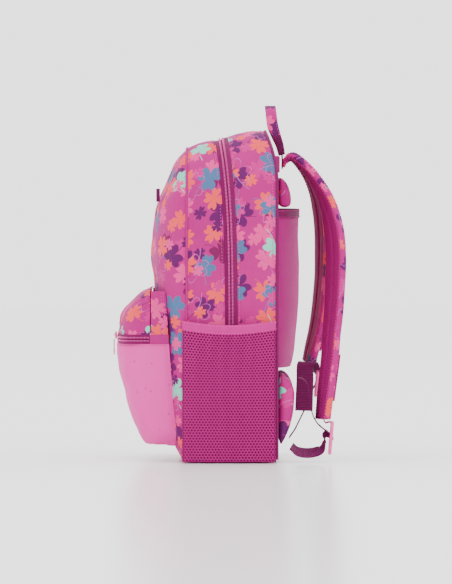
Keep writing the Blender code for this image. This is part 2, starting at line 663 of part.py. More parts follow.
def make_lock(side, tag, top, lean, carrier):
    """The adjuster under a strap, which tips about its top bar."""
    tip = pivot("lock_hinge_" + tag, top, carrier)
    down = Vector((0, -lean, -LOCK_HEIGHT)).normalized()
    middle = Vector(top) + down * (LOCK_HEIGHT / 2)
    wide, tall, bar = LOCK_WIDTH / 2, LOCK_HEIGHT / 2, LOCK_BAR
    across = [-wide, -wide + bar, wide - bar, wide]
    along = [-tall, -tall + bar, -bar / 2, bar / 2, tall - 2 * bar, tall]
    framed_plate("ladder_lock_" + tag, across, along, {(1, 1), (3, 1)}, middle, Vector((1, 0, 0)), down,
                 LIGHT, tip)


# Webbing routes: distance behind the back, height
NEAR_LOWER = [(0.0190, 0.0220), (0.0270, 0.0150), (0.0380, 0.0125), (0.0500, 0.0135), (0.0600, 0.0180),
              (0.0640, 0.0280), (0.0650, 0.0390)]
FAR_LOWER = [(0.0190, 0.0240), (0.0260, 0.0340), (0.0330, 0.0480), (0.0410, 0.0650), (0.0450, 0.0800)]
NEAR_TAIL = [(0.0600, 0.0465), (0.0530, 0.0550), (0.0465, 0.0700), (0.0435, 0.0900), (0.0410, 0.1050),
             (0.0350, 0.1130), (0.0285, 0.1145)]
FAR_TAIL = [(0.0405, 0.1258), (0.0400, 0.1060), (0.0392, 0.0840), (0.0385, 0.0620)]
WING_X = 0.86


def web(name, side_x, end_x, route, across, colour, carrier, steps=12):
    """Flat webbing from one X to another along a route of (behind the back, height)."""
    last = len(route) - 1
    points = [(side_x + (end_x - side_x) * i / last, BACK_Y + y, z) for i, (y, z) in enumerate(route)]
    line = curve_through(points, steps)
    ribbon(name, line, [across] * len(line), [WEB_WIDTH] * len(line), WEB_THICK, colour, carrier)


def make_straps():
    lean = math.radians(30)
    sides = ((1, "right", NEAR_STRAP, NEAR_FOOT, NEAR_TILT), (-1, "left", FAR_STRAP, FAR_FOOT, FAR_TILT))
    for side, tag, route, foot, tilt in sides:
        hinge, line, across, wide = make_strap(side, tag, route, foot, tilt)
        first, last = int(STEPS * 0.80), int(STEPS * 0.92)
        part = slice(first, last + 1)
        lift = -side * (STRAP_THICK / 2 + GAP + KEEPER_LIFT)
        ribbon("keeper_loop_" + tag, line[part], across[part], [w * 0.72 for w in wide[part]],
               1.5 * FIT, PLAIN, hinge, lift)
        end = line[-1]
        lock_x = end.x
        wing_x = side * WING_X * HALF
        make_lock(side, tag, (lock_x, end.y + 0.013, end.z - 0.0025), 0.004, hinge)
        start = end + (line[-1] - line[-2]).normalized() * TONGUE_GAP
        deep = start.y - BACK_Y
        tongue = [(deep, start.z), (deep + 0.0040, start.z - 0.0055), (deep + 0.0070, start.z - 0.0080)]
        if side > 0:
            slope = (math.cos(lean), 0, -math.sin(lean))
            web("lower_webbing_" + tag, wing_x, lock_x, NEAR_LOWER, slope, WEB, hinge, 16)
            web("webbing_tail_" + tag, lock_x, lock_x, NEAR_TAIL, (1, 0, 0), WEB, hinge, 14)
        else:
            web("lower_webbing_" + tag, wing_x, lock_x, FAR_LOWER, (1, 0, 0), WEB, hinge, 10)
            tail_x = end.x + wide[-1] / 2 + TAIL_ASIDE
            web("webbing_tail_" + tag, tail_x, tail_x, FAR_TAIL, (0, 1, 0), WEB, hinge, 6)
        web("lock_tongue_" + tag, lock_x, lock_x, tongue, (1, 0, 0), PLAIN, hinge, 4)


clear_scene()
make_body()
make_cover()
make_main_sliders()
make_pocket()
make_side_pockets()
make_back()
make_handle()
make_straps()
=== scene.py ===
import math

import bmesh
import bpy
import numpy as np
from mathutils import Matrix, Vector, noise


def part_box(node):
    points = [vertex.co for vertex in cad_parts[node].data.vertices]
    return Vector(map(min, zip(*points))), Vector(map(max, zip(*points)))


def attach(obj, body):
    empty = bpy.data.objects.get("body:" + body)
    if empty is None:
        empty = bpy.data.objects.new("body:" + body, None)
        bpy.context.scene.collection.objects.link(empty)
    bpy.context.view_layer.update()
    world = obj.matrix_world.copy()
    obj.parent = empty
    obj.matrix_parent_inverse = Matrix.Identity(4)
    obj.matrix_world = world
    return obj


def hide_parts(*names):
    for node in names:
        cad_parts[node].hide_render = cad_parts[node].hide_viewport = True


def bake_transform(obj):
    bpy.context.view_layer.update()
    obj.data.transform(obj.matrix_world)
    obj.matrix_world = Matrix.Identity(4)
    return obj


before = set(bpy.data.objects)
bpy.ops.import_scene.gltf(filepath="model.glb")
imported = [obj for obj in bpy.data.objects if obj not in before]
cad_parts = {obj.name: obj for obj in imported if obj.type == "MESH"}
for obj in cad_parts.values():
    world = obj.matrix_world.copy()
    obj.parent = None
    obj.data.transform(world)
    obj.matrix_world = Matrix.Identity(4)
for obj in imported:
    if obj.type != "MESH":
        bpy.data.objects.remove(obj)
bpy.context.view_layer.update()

pack = "pack"


boxes = {}


def corner(node, which):
    if node not in boxes:
        boxes[node] = [Vector(end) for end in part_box(node)]
    return boxes[node][which].copy()


# sizes of the bag, read from the model
bag = {
    "half": corner("rear_gusset", 1).x,
    "top": corner("rear_gusset", 1).z,
    "back": corner("back_panel", 1).y,
    "seam": corner("front_gusset", 0).y,
    "front": corner("front_cover", 0).y,
    "split": corner("front_cover", 0).z,
    "foot": corner("rear_gusset", 0).z,
    "topRadius": 0.070,
    "topFall": 0.023,
    "zipAt": 0.007,
    "zipLean": 0.014,
    "tape": 0.008,
    "backRound": 0.016,
}

colours = {
    "base": (0.355, 0.0003, 0.145),
    "plain": (0.355, 0.0003, 0.152),
    "deep": (0.150, 0.0003, 0.066),
    "pink": (0.74, 0.030, 0.235),
    "rose": (0.52, 0.005, 0.195),
    "coral": (0.82, 0.055, 0.055),
    "mint": (0.16, 0.60, 0.46),
    "slate": (0.045, 0.13, 0.27),
    "purple": (0.085, 0.0005, 0.080),
    "lilac": (0.50, 0.105, 0.40),
    "light": (0.74, 0.038, 0.335),
    "web": (0.20, 0.0010, 0.100),
    "board": (0.06, 0.06, 0.07),
    "lining": (0.30, 0.30, 0.33),
}


# one socket, with the sums that the finishes use
class Wire:

    def __init__(self, look, socket):
        self.look, self.socket = look, socket

    def sum(self, kind, *others, clamp=False):
        return self.look.node("ShaderNodeMath", {"operation": kind, "use_clamp": clamp}, [self, *others])

    def __add__(self, other):
        return self.sum("ADD", other)

    def __mul__(self, other):
        return self.sum("MULTIPLY", other)

    def __sub__(self, other):
        return self.sum("SUBTRACT", other)

    def __rsub__(self, other):
        return self.look.node("ShaderNodeMath", {"operation": "SUBTRACT"}, [other, self])

    def __truediv__(self, other):
        return self.sum("DIVIDE", other)

    def __pow__(self, other):
        return self.sum("POWER", other)

    __radd__, __rmul__ = __add__, __mul__

    def below(self, other):
        return self.sum("LESS_THAN", other)

    def bounded(self):
        return self.sum("ADD", 0.0, clamp=True)


# a material and the one way its nodes are made
class Look:

    def __init__(self, name):
        self.material = bpy.data.materials.new(name)
        self.material.use_nodes = True
        self.tree = self.material.node_tree
        self.shader = self.tree.nodes["Principled BSDF"]

    def node(self, kind, settings=None, values=(), out=0):
        made = self.tree.nodes.new(kind)
        for key, value in (settings or {}).items():
            if key == "stops":
                ramp = made.color_ramp
                ramp.interpolation = "CONSTANT"
                while len(ramp.elements) < len(value):
                    ramp.elements.new(0.5)
                for i, (at, colour) in enumerate(value):
                    ramp.elements[i].position = at
                    ramp.elements[i].color = (*colour, 1)
            else:
                setattr(made, key, value)
        pairs = values.items() if isinstance(values, dict) else enumerate(values)
        for key, value in pairs:
            self.feed(made.inputs[key], value)
        return Wire(self, made.outputs[out])

    def feed(self, socket, value):
        if isinstance(value, Wire):
            self.tree.links.new(value.socket, socket)
        elif isinstance(value, tuple) and socket.type == "RGBA":
            socket.default_value = (*value, 1)
        else:
            socket.default_value = value

    def vector(self, kind, a, b=(0, 0, 0)):
        return self.node("ShaderNodeVectorMath", {"operation": kind}, [a, b])

    def mix(self, share, a, b):
        return self.node("ShaderNodeMix", {"data_type": "RGBA"}, {0: share, 6: a, 7: b}, out=2)

    # the piece's own cloth coordinates, in metres
    def cloth(self):
        return self.node("ShaderNodeUVMap", {"uv_map": "cloth"})

    def split(self, place):
        made = self.node("ShaderNodeSeparateXYZ", {}, [place])
        parts = made.socket.node.outputs
        return Wire(self, parts[0]), Wire(self, parts[1]), Wire(self, parts[2])

    def cloud(self, place, scale, detail=2.0, rough=0.5):
        return self.node("ShaderNodeTexNoise", {}, {"Vector": place, "Scale": scale, "Detail": detail,
                                                    "Roughness": rough})

    def finish(self, colour, rough, height=None, depth=0.0004, shine=0.22, coat=0.0):
        inputs = self.shader.inputs
        self.feed(inputs["Base Color"], colour)
        self.feed(inputs["Roughness"], rough)
        inputs["Specular IOR Level"].default_value = shine
        if coat:
            inputs["Coat Weight"].default_value = coat
        if height is not None:
            bump = self.node("ShaderNodeBump", {}, {"Strength": 1.0, "Distance": depth, "Height": height})
            self.feed(inputs["Normal"], bump)
        return self.material


# over-and-under threads, and the cloth's own slow crinkle
def weave(look, place, pitch):
    x, y, _ = look.split(place)
    turn = 2 * math.pi / pitch
    threads = (x * turn).sum("SINE") * (y * turn).sum("SINE")
    crinkle = look.cloud(place, 55.0, 3.0, 0.6)
    return threads * 0.10 + crinkle * 0.9


# one clover in each square cell, turned and shifted; gives its mask and its random values
def cloverLayer(look, place, size, seed, leaves, radius, share, line=0.0, stem=0.0):
    scaled = look.vector("MULTIPLY", place, (1 / size, 1 / size, 0))
    spot = look.vector("ADD", scaled, (seed * 0.37, seed * 0.61, 0))
    cell = look.vector("FLOOR", spot)
    dice = look.node("ShaderNodeTexWhiteNoise", {"noise_dimensions": "3D"},
                     [look.vector("ADD", cell, (seed, seed * 2.7, seed * 5.1))], out=1)
    pick, turnPick, showPick = look.split(dice)
    shift = look.vector("MULTIPLY", look.vector("SUBTRACT", dice, (0.5, 0.5, 0.5)), (0.22, 0.22, 0))
    local = look.vector("SUBTRACT", look.vector("SUBTRACT", spot, cell), (0.5, 0.5, 0))
    x, y, _ = look.split(look.vector("SUBTRACT", local, shift))
    away = (x * x + y * y).sum("SQRT")
    angle = y.sum("ARCTAN2", x) + turnPick * (2 * math.pi)
    leaf = (angle * (leaves / (2 * math.pi)) + 8.0).sum("FRACT") - 0.5
    notch = ((leaf * leaf) * -70.0).sum("EXPONENT")
    lobes = (leaf * math.pi).sum("COSINE").sum("MAXIMUM", 0.0001) ** 0.42
    size2 = 0.82 + pick * 0.18
    edge = lobes * (1 - notch * 0.30) * size2 * radius
    shown = showPick.below(share)
    gap = edge - away
    if line:
        mask = ((line - gap.sum("ABSOLUTE")) * (1.5 / line)).bounded()
    else:
        mask = (gap * 45.0).bounded()
    if stem:
        alongStem = away * angle.sum("COSINE")
        besideStem = away * angle.sum("SINE") - (alongStem * alongStem) * 0.9
        inside = alongStem.below(stem) * (0.0 - alongStem).below(0.0)
        thin = ((0.014 - besideStem.sum("ABSOLUTE")) * 90.0).bounded()
        mask = mask.sum("MAXIMUM", inside * thin)
    return mask * shown, pick


# magenta cloth printed with clovers of many colours
def printLook():
    look = Look("printedCloth")
    place = look.cloth()
    tint = look.cloud(place, 9.0)
    colour = look.mix(tint, colours["base"], tuple(c * 1.25 for c in colours["base"]))
    layers = [
        {"size": 0.052, "seed": 3.0, "leaves": 3, "radius": 0.42, "share": 0.80, "stem": 0.48,
         "inks": ["purple", "deep", "purple"]},
        {"size": 0.041, "seed": 7.0, "leaves": 4, "radius": 0.46, "share": 0.97, "stem": 0.49,
         "inks": ["pink", "coral", "rose", "pink", "coral"]},
        {"size": 0.058, "seed": 11.0, "leaves": 3, "radius": 0.37, "share": 0.80, "stem": 0.46,
         "inks": ["mint", "slate", "pink", "mint", "purple", "slate"]},
        {"size": 0.027, "seed": 17.0, "leaves": 4, "radius": 0.42, "share": 0.42, "stem": 0.0,
         "inks": ["rose", "pink", "purple", "coral"]},
    ]
    for layer in layers:
        inks = layer.pop("inks")
        mask, pick = cloverLayer(look, place, **layer)
        spread = (pick * 37.0).sum("FRACT")
        stops = [(i / len(inks), colours[k]) for i, k in enumerate(inks)]
        ink = look.node("ShaderNodeValToRGB", {"stops": stops}, [spread])
        colour = look.mix(mask, colour, ink)
    mask, _ = cloverLayer(look, place, 0.060, 23.0, 3, 0.42, 0.60, line=0.011, stem=0.48)
    colour = look.mix(mask * 0.85, colour, colours["lilac"])
    shade = look.cloud(place, 30.0, 4.0)
    return look.finish(look.mix(shade * 0.22, colour, colours["deep"]), shade * 0.15 + 0.62,
                       weave(look, place, 0.0012), 0.0009)


def clothLook(name, colour, pitch=0.0011, rough=0.68, crinkle=0.0008, dark=0.18):
    look = Look(name)
    place = look.cloth()
    shade = look.cloud(place, 24.0, 4.0)
    deep = tuple(c * 0.6 for c in colour)
    return look.finish(look.mix(shade * dark, colour, deep), shade * 0.14 + (rough - 0.07),
                       weave(look, place, pitch), crinkle)


# light pink coated cloth with small scattered dots
def speckLook():
    look = Look("lightCloth")
    place = look.cloth()
    shade = look.cloud(place, 14.0, 3.0)
    spot = look.vector("MULTIPLY", place, (62.0, 62.0, 0))
    cell = look.vector("FLOOR", spot)
    dice = look.node("ShaderNodeTexWhiteNoise", {"noise_dimensions": "3D"}, [cell], out=1)
    local = look.vector("SUBTRACT", look.vector("SUBTRACT", spot, cell), dice)
    x, y, _ = look.split(local)
    _, _, pick = look.split(dice)
    dot = (x * x + y * y).below(0.009) * pick.below(0.35)
    colour = look.mix(shade * 0.35, colours["light"], (0.60, 0.022, 0.265))
    return look.finish(look.mix(dot * 0.75, colour, (0.52, 0.014, 0.22)), shade * 0.12 + 0.52,
                       weave(look, place, 0.0012), 0.0009)


# spacer mesh: small round cells in rows, painted dark inside as painted shade in the holes
def airMeshLook():
    look = Look("airMesh")
    x, y, _ = look.split(look.cloth())
    pitch = 0.0046
    row = y / (pitch * 0.5)
    odd = (row.sum("FLOOR") * 0.5).sum("FRACT")
    u = (x / pitch + odd).sum("FRACT") - 0.5
    v = row.sum("FRACT") - 0.5
    hole = ((0.30 - (u * u + v * v * 0.55).sum("SQRT")) * 6.0).bounded()
    # the near-black cell colour is painted shade inside the holes
    colour = look.mix(hole * 0.92, (0.30, 0.0003, 0.120), (0.045, 0.0002, 0.020))
    return look.finish(colour, 0.75, 1 - hole, 0.0006)


# ribbed webbing: ribs run across
def webLook(name, colour, pitch=0.0022):
    look = Look(name)
    x, y, _ = look.split(look.cloth())
    rib = (y * (2 * math.pi / pitch)).sum("SINE") * 0.5 + 0.5
    yarn = (x * (2 * math.pi / 0.0009)).sum("SINE") * 0.15
    # the grooves between the ribs are painted darker: painted shade in the grooves
    deep = tuple(c * 0.45 for c in colour)
    return look.finish(look.mix(rib * 0.8, deep, colour), 0.66, rib + yarn, 0.0007)


def plasticLook(name, colour, rough=0.34):
    look = Look(name)
    place = look.node("ShaderNodeTexCoord", {}, out=3)
    grain = look.cloud(place, 900.0, 2.0)
    wear = look.cloud(place, 60.0, 3.0)
    worn = tuple(c * 0.8 for c in colour)
    return look.finish(look.mix(wear * 0.25, colour, worn), wear * 0.12 + (rough - 0.05), grain, 0.00008,
                       shine=0.5, coat=0.15)


looks = {
    "print": printLook(),
    "plain": clothLook("plainCloth", colours["plain"]),
    "deep": clothLook("shadeCloth", colours["deep"]),
    "light": speckLook(),
    "mesh": clothLook("meshYarn", (0.36, 0.0003, 0.142), pitch=0.0009, dark=0.3),
    # painted shadow seen through the side pockets' net
    "shadeBehindNet": clothLook("paintedShadeBehindNet", (0.19, 0.0003, 0.084), rough=0.8),
    "air": airMeshLook(),
    "web": webLook("ribbedWebbing", colours["web"]),
    "tape": webLook("zipTape", (0.33, 0.0008, 0.145), pitch=0.0011),
    "coil": plasticLook("coilNylon", (0.64, 0.045, 0.30), 0.36),
    "lock": plasticLook("lightPlastic", (0.80, 0.050, 0.29)),
    "hem": clothLook("hemCloth", (0.46, 0.0010, 0.195), crinkle=0.0004),
    "thread": clothLook("sewingThread", (0.70, 0.040, 0.31), pitch=0.0006, dark=0.3),
    "lining": clothLook("greyLining", colours["lining"]),
    "board": plasticLook("stiffBoard", colours["board"], 0.6),
}
print("finishes made")


def gridNormals(points):
    alongRow = np.gradient(points, axis=1)
    alongColumn = np.gradient(points, axis=0)
    normals = np.cross(alongRow, alongColumn)
    return normals / np.maximum(np.linalg.norm(normals, axis=2, keepdims=True), 1e-9)


# small soft waves along the normal, quiet at the edges
def crumple(points, normals, depth, scale, seed, fade=4):
    rows, columns = points.shape[:2]
    waves = np.empty((rows, columns))
    for r in range(rows):
        for c in range(columns):
            place = Vector(points[r, c]) * scale + Vector((seed, seed * 2, seed * 3))
            waves[r, c] = noise.noise(place) + 0.5 * noise.noise(place * 2.3)
    edge = np.minimum(np.minimum(np.arange(rows)[:, None], np.arange(rows)[::-1][:, None]) / fade, 1)
    side = np.minimum(np.minimum(np.arange(columns)[None], np.arange(columns)[::-1][None]) / fade, 1)
    return points + normals * (waves * depth * edge * side)[..., None]


def linked(name, data):
    holder = bpy.data.objects.new(name, data)
    bpy.context.collection.objects.link(holder)
    return holder


# hides the model's nodes that a piece stands for
def stands(piece, slot, *nodes):
    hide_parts(*nodes)


# keeps the sign of a value raised to a power, for rounded squares
def squared(value, power):
    return math.copysign(abs(value) ** power, value)


# turns a bmesh into a finished piece that rides on a body
def pieceFrom(work, name, finishes, body, sharp=50):
    bmesh.ops.recalc_face_normals(work, faces=work.faces)
    mesh = bpy.data.meshes.new(name)
    work.to_mesh(mesh)
    work.free()
    if "cloth" not in mesh.uv_layers:
        mesh.uv_layers.new(name="cloth")
    for finish in finishes:
        mesh.materials.append(looks[finish])
    mesh.shade_smooth()
    if sharp:
        mesh.set_sharp_from_angle(angle=math.radians(sharp))
    piece = linked(name, mesh)
    if body:
        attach(piece, body)
    return piece


# cloth of a real thickness on a grid of points; its outside faces away from core
def clothPiece(name, grid, thick, finish, body=pack, core=(0, 0, 0.22), waves=(0, 20, 1), back=None,
               uvStart=(0, 0)):
    points = np.asarray(grid, float)
    normals = gridNormals(points)
    if np.sum(normals * (points - np.asarray(core))) < 0:
        normals = -normals
    if waves[0]:
        points = crumple(points, normals, *waves)
    rows, columns = points.shape[:2]
    stepsAcross = np.linalg.norm(np.diff(points, axis=1), axis=2)
    across = np.concatenate([np.zeros((rows, 1)), np.cumsum(stepsAcross, axis=1)], axis=1)
    across -= across[:, columns // 2][:, None]
    stepsAlong = np.linalg.norm(np.diff(points[:, columns // 2], axis=0), axis=1)
    along = np.concatenate([[0], np.cumsum(stepsAlong)])
    cloth = np.stack([across + uvStart[0], np.repeat(along[:, None], columns, 1) + uvStart[1]], axis=2)
    verts = np.concatenate([points.reshape(-1, 3), (points - normals * thick).reshape(-1, 3)])
    flat = np.concatenate([cloth.reshape(-1, 2)] * 2)
    under = rows * columns
    faces, finishIndex = [], []
    for r in range(rows - 1):
        for c in range(columns - 1):
            a = r * columns + c
            quad = (a, a + 1, a + columns + 1, a + columns)
            faces += [quad, tuple(under + v for v in reversed(quad))]
            finishIndex += [0, 1 if back else 0]
    rim = list(range(columns)) + [r * columns + columns - 1 for r in range(1, rows)]
    rim += [(rows - 1) * columns + c for c in range(columns - 2, -1, -1)]
    rim += [r * columns for r in range(rows - 2, 0, -1)]
    for a, b in zip(rim, rim[1:] + rim[:1]):
        faces.append((a, under + a, under + b, b))
        finishIndex.append(0)
    work = bmesh.new()
    made = [work.verts.new(v) for v in verts]
    layer = work.loops.layers.uv.new("cloth")
    for face, index in zip(faces, finishIndex):
        if len(set(face)) < 4:
            continue
        one = work.faces.new([made[v] for v in face])
        one.material_index = index
        for loop, v in zip(one.loops, face):
            loop[layer].uv = flat[v]
    bmesh.ops.remove_doubles(work, verts=work.verts, dist=1e-6)
    return pieceFrom(work, name, [finish, back] if back else [finish], body, sharp=55)


# count + 1 places on a smooth curve through the points
def smoothLine(points, count):
    points = [Vector(p) for p in points]
    ends = [2 * points[0] - points[1]] + points + [2 * points[-1] - points[-2]]
    line = []
    for i in range(count + 1):
        run = i / count * (len(points) - 1)
        k = min(int(run), len(points) - 2)
        t = run - k
        a, b, c, d = ends[k:k + 4]
        line.append(0.5 * (2 * b + (c - a) * t + (2 * a - 5 * b + 4 * c - d) * t * t
                           + (3 * b - a - 3 * c + d) * t ** 3))
    return line


# the same curve with places an even step apart
def evenLine(points, step):
    fine = np.array([tuple(p) for p in smoothLine(points, 400)])
    run = np.concatenate([[0], np.cumsum(np.linalg.norm(np.diff(fine, axis=0), axis=1))])
    at = np.linspace(0, run[-1], max(int(run[-1] / step), 2) + 1)
    return [Vector([float(np.interp(s, run, fine[:, k])) for k in range(fine.shape[1])]) for s in at]


# the body's shape
def topAt(y):
    back = bag["back"] - bag["backRound"]
    share = min(max((back - y) / (back - bag["seam"]), 0), 1)
    return bag["top"] - bag["topFall"] * share ** 1.5


def backAt(z):
    knee = bag["top"] - bag["topRadius"]
    return bag["back"] - bag["backRound"] * (max(z - knee, 0) / bag["topRadius"]) ** 2


def zipAt(z):
    return bag["zipAt"] - bag["zipLean"] * (z / bag["top"]) ** 6


# a place on the arch at a depth: share runs up the right side, over and down the left
def archPlace(share, y, inset=0.0, foot=None):
    foot = bag["foot"] if foot is None else foot
    half, radius, top = bag["half"] - inset, bag["topRadius"] - inset, topAt(y) - inset
    rise = bag["top"] - bag["topRadius"] - foot
    bend, flat = math.pi / 2 * bag["topRadius"], 2 * (bag["half"] - bag["topRadius"])
    total = 2 * (rise + bend) + flat
    side = 1 if share <= 0.5 else -1
    run = min(share, 1 - share) * total
    knee = top - radius
    if run <= rise:
        return Vector((side * half, y, foot + (knee - foot) * run / rise))
    if run <= rise + bend:
        turn = (run - rise) / bag["topRadius"]
        return Vector((side * (half - radius + radius * math.cos(turn)), y, knee + radius * math.sin(turn)))
    return Vector((side * (half - radius) * (1 - (run - rise - bend) / (flat / 2)), y, top))


# the nominal height of a place on the arch
def levelAt(share, foot=None):
    return archPlace(share, bag["back"] - bag["backRound"], foot=foot).z


# cloth that follows the arch between two depths, puffed out between its seams
def archBand(name, start, end, finish, rows=220, columns=10, puff=0.0, thick=0.002, inset=0.0, foot=None,
             body=pack, waves=(0, 20, 1), uvStart=(0, 0)):
    grid = []
    for i in range(rows + 1):
        share = i / rows
        level = levelAt(share, foot)
        row = []
        for c in range(columns + 1):
            y = start(level) + (end(level) - start(level)) * c / columns
            lift = puff * math.sin(math.pi * c / columns) ** 0.7
            row.append(archPlace(share, y, inset - lift, foot))
        grid.append(row)
    return clothPiece(name, grid, thick, finish, body, (0, 0.01, 0.2), waves, uvStart=uvStart)


# front outline: share of the bulge, share of the height
frontOutline = [(0.14, 0.006), (0.28, 0.030), (0.45, 0.080), (0.62, 0.200), (0.72, 0.330), (0.83, 0.450),
                (0.92, 0.547), (0.98, 0.591), (1.0, 0.629), (0.965, 0.689), (0.90, 0.747), (0.82, 0.787),
                (0.67, 0.824), (0.50, 0.864), (0.36, 0.902), (0.15, 0.932), (0.0, 0.9488)]


def seamHalf(z):
    top = topAt(bag["seam"])
    over = min(max(z - (top - bag["topRadius"]), 0), bag["topRadius"])
    return bag["half"] - bag["topRadius"] + math.sqrt(bag["topRadius"] ** 2 - over ** 2)


def roundShare(turn, power=2.6):
    across, deep = math.sin(turn), max(math.cos(turn), 0)
    return squared(across, 2 / power), deep ** (2 / power)


# bakes a piece's place into its mesh and hides the nodes it stands for
def crossCover(piece, slot, *nodes):
    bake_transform(piece)
    if nodes:
        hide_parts(*nodes)


# front panel and the two gussets
def makeBody():
    bulge = bag["seam"] - bag["front"]
    outline = evenLine([(bulge * d, bag["top"] * z, 0) for d, z in frontOutline], 0.004)
    rows = []
    for depth, z, _ in outline:
        wide = seamHalf(min(z, topAt(bag["seam"])))
        row = []
        for c in range(81):
            a, d = roundShare(math.pi * (c / 80 - 0.5))
            row.append((wide * a, bag["seam"] - max(depth, 0) * d, min(z, topAt(bag["seam"]))))
        rows.append(row)
    panel = clothPiece("frontPanel", rows, 0.002, "print", None, (0, 0, 0.2), (0.0016, 22, 4.0),
                       back="lining")
    crossCover(panel, "printed_fabric", "front_cover", "lower_front_panel")
    gap = 0.0004
    gusset = archBand("frontGusset", lambda z: bag["seam"], lambda z: zipAt(z) - bag["tape"] - gap, "print",
                      puff=0.0022, columns=14, body=None, waves=(0.0010, 26, 9.0), uvStart=(0.31, 0.07))
    crossCover(gusset, "printed_fabric", "front_gusset", "lower_side_right", "lower_side_left")
    rear = archBand("rearGusset", lambda z: zipAt(z) + bag["tape"] + gap, lambda z: backAt(z), "print",
                    puff=0.0024, columns=16, waves=(0.0010, 24, 2.0), uvStart=(0.93, 0.11))
    stands(rear, "printed_fabric", "rear_gusset")
    print("body walls made")


# sweeps a section along a line; section(share) lists (beside, above) places around it
def sweep(name, line, sides, section, finishes, body=pack, finishOf=None):
    work = bmesh.new()
    layer = work.loops.layers.uv.new("cloth")
    rings, around, run = [], [], 0.0
    for i, place in enumerate(line):
        ahead = (line[min(i + 1, len(line) - 1)] - line[max(i - 1, 0)]).normalized()
        side = Vector(sides[i] if isinstance(sides, list) else sides)
        side = (side - ahead * side.dot(ahead)).normalized()
        face = ahead.cross(side)
        spots = section(i / (len(line) - 1))
        ring = [work.verts.new(place + side * a + face * b) for a, b in spots]
        lengths = [0.0]
        for (a, b), (c, d) in zip(spots, spots[1:] + spots[:1]):
            lengths.append(lengths[-1] + math.hypot(c - a, d - b))
        if i:
            run += (place - line[i - 1]).length
        rings.append(ring)
        around.append([(u, run) for u in lengths])
    count = len(rings[0])
    for r in range(len(rings) - 1):
        for k in range(count):
            n = (k + 1) % count
            one = work.faces.new((rings[r][k], rings[r][n], rings[r + 1][n], rings[r + 1][k]))
            one.material_index = finishOf(k, r / (len(rings) - 1)) if finishOf else 0
            spots = (around[r][k], around[r][k + 1], around[r + 1][k + 1], around[r + 1][k])
            for loop, spot in zip(one.loops, spots):
                loop[layer].uv = spot
    for ring in (rings[0], rings[-1]):
        work.faces.new(ring)
    return pieceFrom(work, name, finishes, body)


# a band with round edges
def flatSection(width, thick, corners=3):
    spots = [(width / 2 * a, thick / 2) for a in (-0.9, -0.5, 0, 0.5, 0.9)]
    edge = [(width / 2 * (0.9 + 0.1 * math.sin(t)), thick / 2 * math.cos(t))
            for t in (math.pi * (k + 1) / (corners + 1) for k in range(corners))]
    spots += edge
    return spots + [(-a, -b) for a, b in spots]


def roundSection(radius, count=10):
    return [(radius * math.cos(2 * math.pi * k / count), radius * math.sin(2 * math.pi * k / count))
            for k in range(count)]


def band(name, line, sides, widths, thick, finish, body, corners=3):
    def section(share):
        at = share * (len(widths) - 1)
        k = min(int(at), len(widths) - 2)
        return flatSection(widths[k] + (widths[k + 1] - widths[k]) * (at - k), thick, corners)
    return sweep(name, line, sides, section, [finish], body)


# a small plate from its outline, with soft edges
def plate(name, outline, middle, axisA, axisB, thick, soft, finish, body):
    work = bmesh.new()
    axisC = axisA.cross(axisB)
    low = [work.verts.new(middle + axisA * a + axisB * b - axisC * thick / 2) for a, b in outline]
    base = work.faces.new(low)
    made = bmesh.ops.extrude_face_region(work, geom=[base])["geom"]
    bmesh.ops.translate(work, verts=[v for v in made if isinstance(v, bmesh.types.BMVert)], vec=axisC * thick)
    rims = [e for e in work.edges if len(e.link_faces) == 2 and e.calc_face_angle(0) > 1.2]
    bmesh.ops.bevel(work, geom=rims, offset=soft, segments=3, affect="EDGES", profile=0.6)
    return pieceFrom(work, name, [finish], body)


# makes one mesh of several pieces
def joined(name, pieces, body):
    work = bmesh.new()
    finishes = []
    for piece in pieces:
        start = len(work.faces)
        first = len(finishes)
        finishes += list(piece.data.materials)
        work.from_mesh(piece.data)
        work.faces.ensure_lookup_table()
        for face in work.faces[start:]:
            face.material_index += first
    mesh = bpy.data.meshes.new(name)
    work.to_mesh(mesh)
    work.free()
    for finish in finishes:
        mesh.materials.append(finish)
    whole = linked(name, mesh)
    for piece in pieces:
        bpy.data.objects.remove(piece)
    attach(whole, body)
    return whole


# an empty node tree with named inputs, and the one way its nodes are made
def makeTree(name, sockets):
    tree = bpy.data.node_groups.new(name, "GeometryNodeTree")
    tree.interface.new_socket("Geometry", in_out="INPUT", socket_type="NodeSocketGeometry")
    tree.interface.new_socket("Geometry", in_out="OUTPUT", socket_type="NodeSocketGeometry")
    for label, kind in sockets:
        tree.interface.new_socket(label, in_out="INPUT", socket_type=kind)
    start = tree.nodes.new("NodeGroupInput")
    end = tree.nodes.new("NodeGroupOutput")

    def add(kind, settings=None, values=None):
        made = tree.nodes.new(kind)
        for key, value in (settings or {}).items():
            setattr(made, key, value)
        for key, value in (values or {}).items():
            if isinstance(value, bpy.types.NodeSocket):
                tree.links.new(value, made.inputs[key])
            else:
                made.inputs[key].default_value = value
        return made.outputs
    return tree, start.outputs, end.inputs, add


def runTree(tree, mesh, values, name):
    holder = linked(name, mesh)
    modifier = holder.modifiers.new("nodes", "NODES")
    modifier.node_group = tree
    for item in tree.interface.items_tree:
        if item.item_type == "SOCKET" and item.in_out == "INPUT" and item.name in values:
            modifier[item.identifier] = values[item.name]
    bpy.context.view_layer.update()
    graph = bpy.context.evaluated_depsgraph_get()
    made = bpy.data.meshes.new_from_object(holder.evaluated_get(graph))
    holder.modifiers.clear()
    holder.data = made
    made.name = name
    if not made.materials or made.materials[0] is None:
        made.materials.clear()
        made.materials.append(values["Finish"])
    made.shade_smooth()
    return holder


